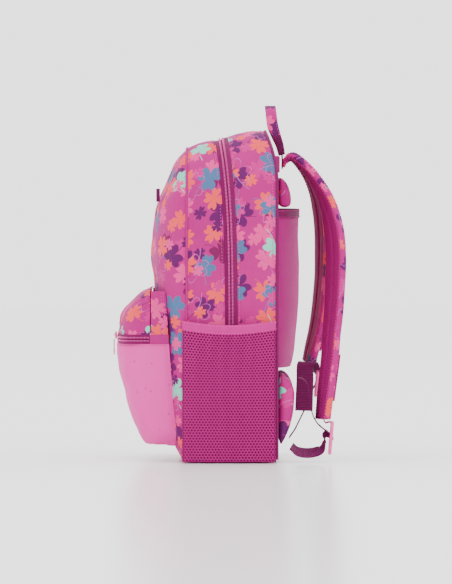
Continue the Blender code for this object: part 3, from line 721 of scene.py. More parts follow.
def beadTree():
    tree, given, result, add = makeTree("beadsAlongLine", [("Pitch", "NodeSocketFloat"),
                                                           ("Size", "NodeSocketVector"),
                                                           ("Finish", "NodeSocketMaterial")])
    curve = add("GeometryNodeMeshToCurve", {}, {0: given["Geometry"]})[0]
    spots = add("GeometryNodeResampleCurve", {"mode": "LENGTH"},
                {"Curve": curve, "Length": given["Pitch"]})[0]
    tangent = add("GeometryNodeInputTangent")[0]
    up = add("GeometryNodeInputNamedAttribute", {"data_type": "FLOAT_VECTOR"}, {"Name": "up"})[0]
    first = add("FunctionNodeAlignRotationToVector", {"axis": "X"}, {"Vector": tangent})[0]
    turned = add("FunctionNodeAlignRotationToVector", {"axis": "Z", "pivot_axis": "X"},
                 {"Rotation": first, "Vector": up})[0]
    bead = add("GeometryNodeMeshUVSphere", {}, {"Segments": 6, "Rings": 4, "Radius": 0.5})[0]
    placed = add("GeometryNodeInstanceOnPoints", {}, {"Points": spots, "Instance": bead, "Rotation": turned,
                                                      "Scale": given["Size"]})[0]
    real = add("GeometryNodeRealizeInstances", {}, {0: placed})[0]
    done = add("GeometryNodeSetMaterial", {}, {"Geometry": real, "Material": given["Finish"]})[0]
    tree.links.new(done, result[0])
    return tree


beads = beadTree()


# step between stitches, then their size
stitches = {
    "plain": (0.0042, (0.0027, 0.0009, 0.0008)),
    "zip": (0.0042, (0.0026, 0.0008, 0.0006)),
    "back": (0.0040, (0.0026, 0.0009, 0.0007)),
    "sleeve": (0.0040, (0.0026, 0.0008, 0.0006)),
    "net": (0.0042, (0.0028, 0.0009, 0.0007)),
    "handle": (0.0036, (0.0024, 0.0008, 0.0007)),
}


# stitches or zip teeth at even steps along lines; size is along, across, out
def beadRow(name, lines, pitch, size, finish, body):
    verts, edges, ups = [], [], []
    for line, up in lines:
        first = len(verts)
        verts += [tuple(p) for p in line]
        ups += [tuple(u) for u in (up if isinstance(up, list) else [up] * len(line))]
        edges += [(first + k, first + k + 1) for k in range(len(line) - 1)]
    mesh = bpy.data.meshes.new(name)
    mesh.from_pydata(verts, edges, [])
    layer = mesh.attributes.new("up", "FLOAT_VECTOR", "POINT")
    layer.data.foreach_set("vector", np.array(ups, float).ravel())
    piece = runTree(beads, mesh, {"Pitch": pitch, "Size": size, "Finish": looks[finish]}, name)
    if body:
        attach(piece, body)
    return piece


def sewn(name, lines, kind, body=pack):
    beadRow(name, lines, *stitches[kind], "thread", body)


def netTree():
    sockets = [("Columns", "NodeSocketInt"), ("Rows", "NodeSocketInt"), ("Pitch", "NodeSocketFloat"),
               ("Hole", "NodeSocketFloat"), ("Thick", "NodeSocketFloat"), ("Finish", "NodeSocketMaterial")]
    tree, given, result, add = makeTree("hexNet", sockets)

    def calc(operation, a, b=0.0):
        return add("ShaderNodeMath", {"operation": operation}, {0: a, 1: b})[0]
    pitch, rows, columns = given["Pitch"], given["Rows"], given["Columns"]
    tall = calc("MULTIPLY", calc("SUBTRACT", rows, 1.0), calc("MULTIPLY", pitch, math.sqrt(3) / 2))
    wide = calc("MULTIPLY", calc("SUBTRACT", columns, 1.0), pitch)
    grid = add("GeometryNodeMeshGrid", {}, {"Size X": wide, "Size Y": tall, "Vertices X": columns,
                                            "Vertices Y": rows})[0]
    index = add("GeometryNodeInputIndex")[0]
    odd = calc("MODULO", calc("MODULO", index, rows), 2.0)
    shift = add("ShaderNodeCombineXYZ", {}, {0: calc("MULTIPLY", odd, calc("MULTIPLY", pitch, 0.5))})[0]
    spots = add("GeometryNodeSetPosition", {}, {"Geometry": grid, "Offset": shift})[0]
    hexagon = add("GeometryNodeMeshCircle", {"fill_type": "NGON"},
                  {"Vertices": 6, "Radius": calc("DIVIDE", pitch, math.sqrt(3))})[0]
    upright = add("GeometryNodeTransform", {}, {"Geometry": hexagon, "Rotation": (0, 0, math.radians(30))})[0]
    inner = add("GeometryNodeExtrudeMesh", {"mode": "FACES"}, {"Mesh": upright, "Offset Scale": 0.0})
    small = add("GeometryNodeScaleElements", {"domain": "FACE"},
                {"Geometry": inner[0], "Selection": inner["Top"], "Scale": given["Hole"]})[0]
    ring = add("GeometryNodeDeleteGeometry", {"domain": "FACE"},
               {"Geometry": small, "Selection": inner["Top"]})[0]
    placed = add("GeometryNodeInstanceOnPoints", {}, {"Points": spots, "Instance": ring})[0]
    real = add("GeometryNodeRealizeInstances", {}, {0: placed})[0]
    flat = add("GeometryNodeMergeByDistance", {}, {"Geometry": real, "Distance": 0.0002})[0]
    lift = add("ShaderNodeCombineXYZ", {}, {2: given["Thick"]})[0]
    raised = add("GeometryNodeExtrudeMesh", {"mode": "FACES"},
                 {"Mesh": flat, "Offset": lift, "Offset Scale": 1.0, "Individual": False})[0]
    under = add("GeometryNodeFlipFaces", {}, {0: flat})[0]
    both = tree.nodes.new("GeometryNodeJoinGeometry")
    tree.links.new(raised, both.inputs[0])
    tree.links.new(under, both.inputs[0])
    whole = add("GeometryNodeMergeByDistance", {}, {"Geometry": both.outputs[0], "Distance": 0.00002})[0]
    done = add("GeometryNodeSetMaterial", {}, {"Geometry": whole, "Material": given["Finish"]})[0]
    tree.links.new(done, result[0])
    return tree


hexNet = netTree()
print("node trees made")


# the zips
zipParts = {"row": 0.0022, "tooth": (0.0011, 0.0036, 0.0013), "pitch": 0.0019}


def archLine(offset, inset, count=300, foot=None):
    places, ups = [], []
    for i in range(count + 1):
        share = i / count
        y = zipAt(levelAt(share, foot)) + offset
        places.append(archPlace(share, y, inset, foot))
        outer = archPlace(share, y, inset - 0.01, foot)
        ups.append((outer - places[-1]).normalized())
    return places, ups


def makeMainZip():
    rearTape = archBand("rearTape", lambda z: zipAt(z) + 0.0005, lambda z: zipAt(z) + bag["tape"] + 0.001,
                        "tape", columns=6, thick=0.0010, inset=-0.0006)
    stands(rearTape, "lining", "rear_zip_tape")
    frontTape = archBand("frontTape", lambda z: zipAt(z) - bag["tape"] - 0.001, lambda z: zipAt(z) + 0.0012,
                         "tape", columns=6, thick=0.0010, inset=0.0008, body=None)
    crossCover(frontTape, "lining", "front_zip_tape", "lower_zip_right", "lower_zip_left")
    row, tooth, pitch = zipParts["row"], zipParts["tooth"], zipParts["pitch"]
    rearTeeth = beadRow("rearTeeth", [archLine(row, -0.0010)], pitch, tooth, "coil", pack)
    stands(rearTeeth, "coil", "rear_zip_coil")
    frontTeeth = beadRow("frontTeeth", [archLine(-row, -0.0010)], pitch, tooth, "coil", None)
    crossCover(frontTeeth, "coil", "front_zip_coil")
    sewn("rearGussetStitches", [archLine(bag["tape"] + 0.0035, -0.0016)], "zip")
    frontSeam = beadRow("frontGussetStitches", [archLine(-bag["tape"] - 0.0035, -0.0015)], *stitches["zip"],
                        "thread", None)
    crossCover(frontSeam, "plain_fabric")
    print("main zip made")


# piping and stitches along the two arch seams
def makeSeams():
    places = [archPlace(i / 260, backAt(levelAt(i / 260)) - 0.0006, -0.0004) for i in range(261)]
    piping = sweep("backPiping", places, (0, 1, 0), lambda share: roundSection(0.0021), ["deep"])
    stands(piping, "plain_fabric", "back_piping")
    line, ups = [], []
    for i in range(261):
        share = i / 260
        y = backAt(levelAt(share)) - 0.0065
        line.append(archPlace(share, y, -0.0020))
        ups.append((archPlace(share, y, -0.012) - line[-1]).normalized())
    sewn("backSeamStitches", [(line, ups)], "back")
    front = [archPlace(i / 260, bag["seam"] + 0.0002, -0.0003) for i in range(261)]
    edge = sweep("frontPiping", front, (0, 1, 0), lambda share: roundSection(0.0017), ["plain"], None)
    crossCover(edge, "plain_fabric")
    print("seams made")


# the base and the back
def makeBase():
    sides, front, back = bag["half"], bag["seam"] - 0.004, bag["back"]
    middle, deepHalf = (front + back) / 2, (back - front) / 2
    inset, level = 0.0105, 0.0002  # where the base cloth starts inside the rim, and its height
    rows = []
    profile = [(0.000, 0.0060), (0.0005, 0.0042), (0.0022, 0.0018), (0.0055, 0.0004), (0.010, 0.0)]
    count = 60
    for deep, rise in profile:
        ring = []
        for k in range(count + 1):
            turn = 2 * math.pi * k / count
            a = squared(math.cos(turn), 2 / 7)
            b = squared(math.sin(turn), 2 / 7)
            ring.append((a * (sides - deep), middle + b * (deepHalf - deep), rise))
        rows.append(ring)
    rim = clothPiece("baseRim", rows, 0.0012, "print", core=(0, 0, 0.02), uvStart=(0.2, 0.3))
    inner = [[((sides - inset) * (a / 20 - 1), middle + (deepHalf - inset) * (b / 8 - 1), level)
              for a in range(41)] for b in range(17)]
    floor = clothPiece("baseCloth", inner, 0.0015, "plain", core=(0, 0, 0.1))
    stands(floor, "plain_fabric", "base_panel")
    print("base made")


backPads = {"half": 0.135, "low": 0.012, "channel": 0.006, "puff": 0.0016}


def makeBack():
    rows = []
    for r in range(91):
        z = 0.0062 + (bag["top"] - 0.0010 - 0.0062) * (r / 90)
        wide = seamAtBack(z)
        row = []
        for c in range(61):
            x = wide * (c / 30 - 1)
            lift = backPads["puff"] * quilt(x, z)
            row.append((x, backAt(z) - 0.0004 + lift - backPads["puff"], z))
        rows.append(row)
    panel = clothPiece("backPanel", rows, 0.0015, "plain", core=(0, 0, 0.2))
    stands(panel, "plain_fabric", "back_panel")
    print("back made")


def seamAtBack(z):
    over = min(max(z - (bag["top"] - bag["topRadius"]), 0), bag["topRadius"] - 0.0006)
    inner = bag["half"] - bag["topRadius"]
    return inner + math.sqrt(bag["topRadius"] ** 2 - over ** 2) - 0.001


# padded channels across the back, with a sewn line down the middle
def quilt(x, z):
    across = min(abs(x) / backPads["channel"], 1) * min(max(backPads["half"] - abs(x), 0) / 0.012, 1)
    along = abs(math.sin(math.pi * (z - backPads["low"]) / 0.062))
    return max(across, 0) ** 0.5 * along ** 0.3


# the places of a mesh's corners, three numbers a row
def spotsOf(mesh):
    places = np.empty(len(mesh.vertices) * 3)
    mesh.vertices.foreach_get("co", places)
    return places.reshape(-1, 3)


# padded pieces, filled by a cloth simulation
def puffed(name, nodes, finish, body, pressure, cap, along, across, voxel=0.005, shrink=0.93):
    work = bmesh.new()
    for node in nodes:
        work.from_mesh(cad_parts[node].data)
    bmesh.ops.remove_doubles(work, verts=work.verts, dist=1e-5)
    mesh = bpy.data.meshes.new(name)
    work.to_mesh(mesh)
    work.free()
    places = spotsOf(mesh)
    middle = (places.max(axis=0) + places.min(axis=0)) / 2
    places = middle + (places - middle) * shrink
    mesh.vertices.foreach_set("co", places.ravel())
    piece = linked(name, mesh)
    remesh = piece.modifiers.new("even", "REMESH")
    remesh.mode = "VOXEL"
    remesh.voxel_size = voxel
    freeze(piece)
    rest = spotsOf(piece.data)
    cloth = piece.modifiers.new("fill", "CLOTH")
    cloth.settings.use_pressure = True
    cloth.settings.uniform_pressure_force = pressure
    cloth.settings.effector_weights.gravity = 0
    cloth.settings.quality = 4
    scene = bpy.context.scene
    for step in range(1, 19):
        scene.frame_set(step)
    freeze(piece)
    scene.frame_set(1)
    step = spotsOf(piece.data) - rest
    far = np.linalg.norm(step, axis=1, keepdims=True)
    step *= np.minimum(1, cap / np.maximum(far, 1e-9))
    piece.data.vertices.foreach_set("co", (rest + step).ravel())
    round1 = piece.modifiers.new("round", "SUBSURF")
    round1.levels = round1.render_levels = 1
    freeze(piece)
    wrapUv(piece.data, along, across)
    piece.data.materials.clear()
    piece.data.materials.append(looks[finish])
    piece.data.shade_smooth()
    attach(piece, body)
    return piece


def freeze(piece):
    graph = bpy.context.evaluated_depsgraph_get()
    made = bpy.data.meshes.new_from_object(piece.evaluated_get(graph))
    piece.modifiers.clear()
    piece.data = made


# cloth coordinates straight from two directions in space
def wrapUv(mesh, along, across):
    layer = mesh.uv_layers.get("cloth") or mesh.uv_layers.new(name="cloth")
    corners = np.empty(len(mesh.loops), np.int32)
    mesh.loops.foreach_get("vertex_index", corners)
    places = spotsOf(mesh)[corners]
    layer.data.foreach_set("uv", np.stack([places @ np.array(across), places @ np.array(along)], 1).ravel())


yoke = {"level": 0.4055, "wide": 0.023, "thick": 0.0072}


def makePads():
    wings = {"pressure": 3.0, "cap": 0.005}
    for tag in ("right", "left"):
        wing = puffed("wingPad_" + tag, ["wing_" + tag], "print", pack, wings["pressure"], wings["cap"],
                      (0, 0, 1), (0.75, 0.65, 0))
        stands(wing, "printed_fabric", "wing_" + tag)
    lumbar = puffed("lumbarPad", ["lumbar_pad"], "print", pack, wings["pressure"], wings["cap"],
                    (0, 0, 1), (1, 0, 0))
    stands(lumbar, "printed_fabric", "lumbar_pad")
    upper = puffed("upperPad", ["upper_back_pad"], "print", pack, wings["pressure"], 0.004,
                   (0, 0, 1), (0.8, 0.6, 0))
    paintBy(upper, lambda place: 1 if place.z > 0.3705 else 0, ["print", "plain"])
    stands(upper, "printed_fabric", "upper_back_pad")
    low, high = corner("strap_yoke", 0), corner("strap_yoke", 1)
    line = [Vector((low.x + 0.001 + (high.x - low.x - 0.002) * k / 40, bag["back"] - 0.0002, yoke["level"]))
            for k in range(41)]
    piece = band("strapYoke", line, (0, 0, 1), [yoke["wide"]] * 2, yoke["thick"], "plain", pack, corners=5)
    stands(piece, "plain_fabric", "strap_yoke")
    print("pads made")


# gives each face the finish that a rule picks from its middle
def paintBy(piece, rule, finishes):
    piece.data.materials.clear()
    for finish in finishes:
        piece.data.materials.append(looks[finish])
    for face in piece.data.polygons:
        face.material_index = rule(face.center)


# the luggage sleeve, a sheet sewn down at its sides
sleeve = {"waves": (0.0012, 16, 5.0), "hem": 0.012, "thick": 0.0016, "hemThick": 0.0030}


def makeSleeve():
    low, high = corner("trolley_sleeve", 0), corner("trolley_sleeve", 1)
    top = corner("sleeve_hem", 1)

    def wall(start, end, lift, rows):
        grid = []
        for r in range(rows + 1):
            z = start + (end - start) * r / rows
            rise = 0.62 + 0.38 * min((z - low.z) / 0.09, 1) ** 0.6
            row = []
            for c in range(61):
                a = c / 30 - 1
                bow = (1 - abs(a) ** 2.6) ** 0.8
                deep = (high.y - bag["back"] - 0.0030) * bow * rise
                row.append((high.x * a, bag["back"] + 0.0006 + lift + deep, z))
            grid.append(row)
        return grid
    cloth = clothPiece("luggageSleeve", wall(low.z, top.z - sleeve["hem"] + 0.001, 0, 44), sleeve["thick"],
                       "plain", waves=sleeve["waves"], core=(0, 0, 0.2))
    hem = clothPiece("luggageHem", wall(top.z - sleeve["hem"], top.z, 0.0012, 6), sleeve["hemThick"], "deep",
                     waves=(0.0006, 16, 5.0), core=(0, 0, 0.2))
    stands(cloth, "plain_fabric", "trolley_sleeve")
    stands(hem, "plain_fabric", "sleeve_hem")
    for level, tag in ((top.z - sleeve["hem"] + 0.0015, "low"), (top.z - 0.002, "high")):
        line = [Vector(p) + Vector((0, 0.0006, 0)) for p in wall(level, level + 0.001, 0.0012, 1)[0]]
        sewn("hemStitches_" + tag, [(line, Vector((0, 1, 0)))], "sleeve")
    print("sleeve made")


# the front pocket
pocket = {
    "half": corner("pocket_bucket", 1).x,
    "floor": corner("pocket_bucket", 0).z,
    "front": corner("pocket_bucket", 0).y,
    "top": corner("pocket_flap", 1).z,
    "zip": (corner("pocket_upper_tape", 0).z + corner("pocket_lower_tape", 1).z) / 2,
    "gap": 0.0055,
    "corner": 0.024,
    "square": 5.0,
}
# front outline of the pocket: distance ahead of the hinge line, height
bucketOutline = [(0.0465, 0.1625), (0.0470, 0.151), (0.0450, 0.127), (0.0390, 0.105), (0.0330, 0.079),
                 (0.0240, 0.053), (0.0150, 0.035), (0.0070, 0.0245), (-0.0090, 0.0240), (-0.0180, 0.0255),
                 (-0.0270, 0.0270)]
flapOutline = [(0.0440, 0.1725), (0.0432, 0.182), (0.0400, 0.200), (0.0285, 0.215), (0.0135, 0.2275),
               (0.0040, 0.2335), (0.0006, 0.2348)]


panelCurve = {"bulge": 0.049, "atSplit": 0.918, "split": 0.245, "fill": 0.45, "round": 2.6}


# where the front panel lies behind the pocket's side
def frontRear(z, x):
    share, power = x / bag["half"], panelCurve["round"]
    deep = panelCurve["bulge"] * panelCurve["atSplit"] * (z / panelCurve["split"]) ** panelCurve["fill"]
    return bag["seam"] - deep * (1 - abs(share) ** power) ** (1 / power)


def pocketRow(ahead, z, rear, half=None, count=72):
    half = pocket["half"] if half is None else half
    low = pocket["floor"] - 0.001
    if z < low + pocket["corner"]:
        rise = pocket["corner"] - (z - low)
        half -= pocket["corner"] - math.sqrt(max(pocket["corner"] ** 2 - rise ** 2, 0))
    deep = max(ahead - rear, 0)
    row = []
    for c in range(count + 1):
        turn = math.pi * (c / count - 0.5)
        across = squared(math.sin(turn), 2 / pocket["square"])
        row.append((half * across, -rear - deep * abs(math.cos(turn)) ** (2 / pocket["square"]), z))
    return row


def makePocket():
    hingeY = -bag["front"]
    side = pocket["half"] - 0.004
    rows = []
    for ahead, z, _ in evenLine([(a, z, 0) for a, z in bucketOutline], 0.0035):
        rows.append(pocketRow(hingeY + ahead, z, -frontRear(z, side) - 0.0005))
    bucket = clothPiece("pocketBucket", rows, 0.0018, "light", core=(0, -0.11, 0.11),
                        waves=(0.0020, 26, 7.0))
    stands(bucket, "light_fabric", "pocket_bucket")
    rows = []
    for ahead, z, _ in evenLine([(a, z, 0) for a, z in flapOutline], 0.0030):
        rows.append(pocketRow(hingeY + ahead, z, hingeY + 0.0006))
    flap = clothPiece("pocketFlap", rows, 0.0018, "print", body="pocket_flap", core=(0, -0.11, 0.19),
                      waves=(0.0022, 30, 3.0), uvStart=(0.15, 0.22))
    stands(flap, "printed_fabric", "pocket_flap")
    print("pocket made")
    makePocketSides()
    makePocketZip(hingeY)


# strips of the pocket that stay on the bag: beside the flap, and the zip's end tabs
def makePocketSides():
    for sign, tag in ((1, "right"), (-1, "left")):
        x = sign * pocket["half"]
        levels = [0.1625 + (pocket["top"] - 0.002 - 0.1625) * k / 20 for k in range(21)]
        ahead = bag["front"] + 0.0006
        grid = [[(x + sign * 0.0004 * math.sin(math.pi * c / 6),
                  ahead + (frontRear(z, pocket["half"] - 0.003) - ahead) * c / 6, z)
                 for c in range(7)] for z in levels]
        strip = clothPiece("pocketSide_" + tag, grid, 0.0016, "print", core=(0, bag["front"] + 0.02, 0.2))
        stands(strip, "light_fabric", "pocket_side_" + tag)
        low, high = pocket["zip"] - 0.0062, pocket["zip"] + 0.0062
        rear = frontRear(pocket["zip"], pocket["half"] - 0.003)
        line = [Vector((x + sign * 0.0010, bag["front"] - 0.001 + (rear - bag["front"] + 0.001) * k / 10,
                        (low + high) / 2)) for k in range(11)]
        tab = band("zipTab_" + tag, line, (0, 0, 1), [high - low, high - low], 0.0018, "plain", pack)
        stands(tab, "plain_fabric", "zip_end_tab_" + tag)
        ups = Vector((sign, 0, 0))
        lines = []
        for back in (0.0035, 0.0065):
            lines.append(([Vector((x + sign * 0.0003, frontRear(z, pocket["half"] - 0.003) - back, z))
                           for z in [0.05 + 0.18 * k / 40 for k in range(41)]], ups))
        sewn("pocketSideStitches_" + tag, lines, "plain")


def zipFront(z, hingeY, lift=0.0, rear=None):
    rear = hingeY + 0.0005 if rear is None else rear
    return pocketRow(hingeY + 0.0455 + lift, z, rear, pocket["half"] + lift)


def makePocketZip(hingeY):
    gap, middle = pocket["gap"], pocket["zip"]
    for tag, low, high, body in (("lower", middle - gap - 0.0008, middle - 0.0003, pack),
                                 ("upper", middle + 0.0003, middle + gap + 0.0008, "pocket_flap")):
        rows = [zipFront(low + (high - low) * k / 4, hingeY, 0.0002) for k in range(5)]
        tape = clothPiece("pocketTape_" + tag, rows, 0.0010, "tape", body=body, core=(0, -0.11, middle))
        for loop in tape.data.uv_layers["cloth"].data:
            loop.uv = (loop.uv[1], loop.uv[0])
        stands(tape, "lining", "pocket_" + tag + "_tape")
        level = (low + high) / 2 + (0.0012 if tag == "lower" else -0.0012)
        inner, outer = zipFront(level, hingeY, 0.0007), zipFront(level, hingeY, 0.0057)
        line = [Vector(p) for p in inner]
        ups = [(Vector(q) - Vector(p)).normalized() for p, q in zip(inner, outer)]
        teeth = beadRow("pocketTeeth_" + tag, [(line, ups)], 0.0019, (0.0011, 0.0030, 0.0012), "coil", body)
    # sewn lines along both edges of the zip, and under the pocket's top
    lines = {"pocketLowerStitches": (middle - gap - 0.0035, 0.0466, pack, None),
             "pocketUpperStitches": (middle + gap + 0.0035, 0.0446, "pocket_flap", hingeY + 0.0006)}
    for name, (z, ahead, body, rear) in lines.items():
        side = pocket["half"] - 0.004
        rear = -frontRear(z, side) - 0.0005 if rear is None else rear
        row = [Vector(p) for p in pocketRow(hingeY + ahead + 0.0007, z, rear, pocket["half"] + 0.0003)]
        ups = [Vector((0, -1, 0))] * len(row)
        sewn(name, [(row, ups)], "plain", body)
    print("pocket zip made")


# the side pockets: a net over a dark sheet, painted shadow inside the pocket
net = {"pitch": 0.0043, "hole": 0.60, "thick": 0.0009, "folds": 0.0016, "sag": 0.006}


def netPlace(sign, u, v, lift):
    # u runs from front to back, v from the foot to the hem
    low, high = corner("mesh_pocket_right", 0), corner("mesh_pocket_right", 1)
    y = -0.0595 + (0.0680 + 0.0595) * u
    sag = net["sag"] * math.sin(math.pi * u) * max(v - 0.6, 0) / 0.4
    z = low.z + (high.z - low.z) * v - sag
    fill = min(1, 0.35 + 1.3 * v) * 0.0125
    inside = math.sin(math.pi * min(max(u, 0), 1))
    bow = fill * inside ** 0.6
    fold = net["folds"] * math.sin(u * 46 + 2.2 * math.sin(v * 3.1)) * inside ** 0.5
    fold *= 0.4 + 0.6 * v
    return Vector((sign * (bag["half"] + 0.0030 + bow + fold + lift), y, z))


def makeSidePockets():
    for sign, tag in ((1, "right"), (-1, "left")):
        low, high = corner("mesh_pocket_" + tag, 0), corner("mesh_pocket_" + tag, 1)
        wide, tall = 0.1275, high.z - low.z
        pitch = net["pitch"]
        columns, rows = int(wide / pitch), int(tall / (pitch * math.sqrt(3) / 2))
        flat = bpy.data.meshes.new("net")
        piece = runTree(hexNet, flat, {"Columns": columns, "Rows": rows, "Pitch": pitch, "Hole": net["hole"],
                                       "Thick": net["thick"], "Finish": looks["mesh"]}, "netPocket_" + tag)
        mesh = piece.data
        places = spotsOf(mesh)
        start, end = places.min(axis=0), places.max(axis=0)
        share = (places - start) / (end - start)
        spots = [netPlace(sign, u, v, w * net["thick"]) for u, v, w in share]
        wrapUv(mesh, (0, 1, 0), (1, 0, 0))
        mesh.vertices.foreach_set("co", np.array(spots).ravel())
        work = bmesh.new()
        work.from_mesh(mesh)
        bmesh.ops.recalc_face_normals(work, faces=work.faces)
        work.to_mesh(mesh)
        work.free()
        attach(piece, pack)
        stands(piece, "mesh_fabric", "mesh_pocket_" + tag)
        # a dark sheet just inside the net: painted shadow of the pocket's inside
        grid = [[netPlace(sign, c / 40, r / 36, -0.0014) for c in range(41)] for r in range(37)]
        lining = clothPiece("netLining_" + tag, grid, 0.0006, "shadeBehindNet", core=(0, 0, 0.1))
        hemRows = []
        for r in range(7):
            row = []
            for c in range(41):
                place = netPlace(sign, c / 40, 0.985, 0.0004 + 0.0009 * math.sin(math.pi * r / 6))
                row.append(place + Vector((sign * 0.0003, 0, -0.0020 + 0.0135 * r / 6)))
            hemRows.append(row)
        hem = clothPiece("netHem_" + tag, hemRows, 0.0022, "hem", core=(0, 0, 0.18),
                         waves=(0.0003, 40, 2.0, 1))
        stands(hem, "plain_fabric", "mesh_hem_" + tag)
        lines = [([Vector(p) + Vector((sign * 0.0004, 0, 0)) for p in hemRows[k]], Vector((sign, 0, 0)))
                 for k in (1, 5)]
        sewn("netHemStitches_" + tag, lines, "net")
    print("side pockets made")


# the shoulder straps
strap = {"width": 0.060, "thick": 0.012}
nearStrap = [(0.43, 0.0085, 0.893), (0.43, 0.0120, 0.911), (0.44, 0.0215, 0.922), (0.47, 0.0330, 0.904),
             (0.52, 0.0490, 0.862), (0.57, 0.0635, 0.807), (0.62, 0.0730, 0.747), (0.66, 0.0785, 0.678),
             (0.69, 0.0800, 0.611), (0.72, 0.0790, 0.547), (0.75, 0.0765, 0.449), (0.77, 0.0735, 0.384),
             (0.79, 0.0720, 0.327), (0.81, 0.0670, 0.233), (0.82, 0.0640, 0.176), (0.83, 0.0620, 0.130)]
farStrap = [(0.43, 0.0085, 0.893), (0.43, 0.0120, 0.911), (0.44, 0.0215, 0.922), (0.47, 0.0330, 0.904),
            (0.52, 0.0470, 0.862), (0.57, 0.0580, 0.807), (0.62, 0.0640, 0.747), (0.66, 0.0665, 0.678),
            (0.69, 0.0665, 0.611), (0.72, 0.0655, 0.547), (0.75, 0.0610, 0.449), (0.77, 0.0560, 0.384),
            (0.79, 0.0500, 0.327), (0.80, 0.0460, 0.285)]
nearLower = [(0.0190, 0.0220), (0.0270, 0.0150), (0.0380, 0.0125), (0.0500, 0.0135), (0.0600, 0.0180),
             (0.0640, 0.0280), (0.0650, 0.0350), (0.0712, 0.0400)]
farLower = [(0.0190, 0.0240), (0.0260, 0.0340), (0.0330, 0.0480), (0.0410, 0.0650), (0.0470, 0.0820),
            (0.0560, 0.1000)]
nearTail = [(0.0722, 0.0385), (0.0620, 0.0460), (0.0530, 0.0550), (0.0465, 0.0700), (0.0435, 0.0900),
            (0.0410, 0.1050), (0.0350, 0.1130), (0.0285, 0.1145)]
farTail = [(0.0405, 0.1258), (0.0400, 0.1060), (0.0392, 0.0840), (0.0385, 0.0620)]


def strapFrame(side, route, foot, tilt, steps):
    low = route[-1][2]
    points = [(side * a * bag["half"], bag["back"] + y, foot + (bag["top"] - foot) * (r - low) / (1 - low))
              for a, y, r in route]
    line = smoothLine(points, steps)
    sides = []
    for i in range(steps + 1):
        turn = math.radians(tilt) * min(max((i / steps - 0.1) / 0.35, 0), 1)
        sides.append((side * math.cos(turn), math.sin(turn), 0))
    return line, sides


def strapWidth(share):
    return strap["width"] * min(1, 0.5 + 3.5 * share) * (1 - 0.35 * max(0, (share - 0.6) / 0.4))


def strapThick(share):
    return strap["thick"] * min(1, 0.35 + 4 * share)


def strapSection(share):
    # two soft pads beside a sewn crease on the inner face, a rolled binding on both edges
    wide, thick = strapWidth(share) - 0.001, strapThick(share)
    spots = []
    for k in range(17):
        a = -0.94 + 1.88 * k / 16
        rise = (1 - abs(a) ** 3.2) ** 0.5
        crease = 0.45 * math.exp(-((a - 0.12) / 0.07) ** 2)
        spots.append((wide / 2 * a, thick / 2 * (0.50 + 0.50 * rise - crease)))
    for t in (0.35, 0.8, math.pi / 2, 2.34, 2.79):
        spots.append((wide / 2 * (0.94 + 0.06 * math.sin(t)), thick * 0.28 * math.cos(t)))
    for k in range(13):
        a = 0.94 - 1.88 * k / 12
        rise = (1 - abs(a) ** 3.2) ** 0.5
        spots.append((wide / 2 * a, -thick / 2 * (0.50 + 0.50 * rise)))
    for t in (0.35, 0.8, math.pi / 2, 2.34, 2.79):
        spots.append((-wide / 2 * (0.94 + 0.06 * math.sin(t)), -thick * 0.28 * math.cos(t)))
    return spots


def makeStraps():
    straps = ((1, "right", nearStrap, 0.0585, 20), (-1, "left", farStrap, 0.12825, -18))
    for side, tag, route, foot, tilt in straps:
        body = "strap_" + tag
        line, sides = strapFrame(side, route, foot, tilt, 110)
        # the inner face lies on the other side of the left strap

        def pick(k, share):
            inner = k < 16 if side > 0 else 17 < k < 35
            return 1 if inner and share > 0.05 else 0

        def section(share):
            return strapSection(share) if side > 0 else flipped(strapSection(share))
        pad = sweep("strapPad_" + tag, line, sides, section, ["print", "air"], body, finishOf=pick)
        stands(pad, "printed_fabric", "shoulder_strap_" + tag)
        rows = []
        for edge in (-0.86, 0.86):
            for flip in (1, -1):
                places, ups = [], []
                for i in range(4, len(line) - 1):
                    ahead = (line[i + 1] - line[i - 1]).normalized()
                    across = (Vector(sides[i]) - ahead * ahead.dot(Vector(sides[i]))).normalized()
                    face = ahead.cross(across)
                    share = i / (len(line) - 1)
                    rise = 0.50 + 0.50 * (1 - 0.86 ** 3.2) ** 0.5
                    places.append(line[i] + across * edge * strapWidth(share) / 2
                                  + face * flip * strapThick(share) / 2 * rise)
                    ups.append(face * flip)
                rows.append((places, ups))
        sewn("strapStitches_" + tag, rows, "plain", body)
        makeStrapFoot(side, tag, line, sides, body)
    print("straps made")


def flipped(spots):
    return [(a, -b) for a, b in reversed(spots)]


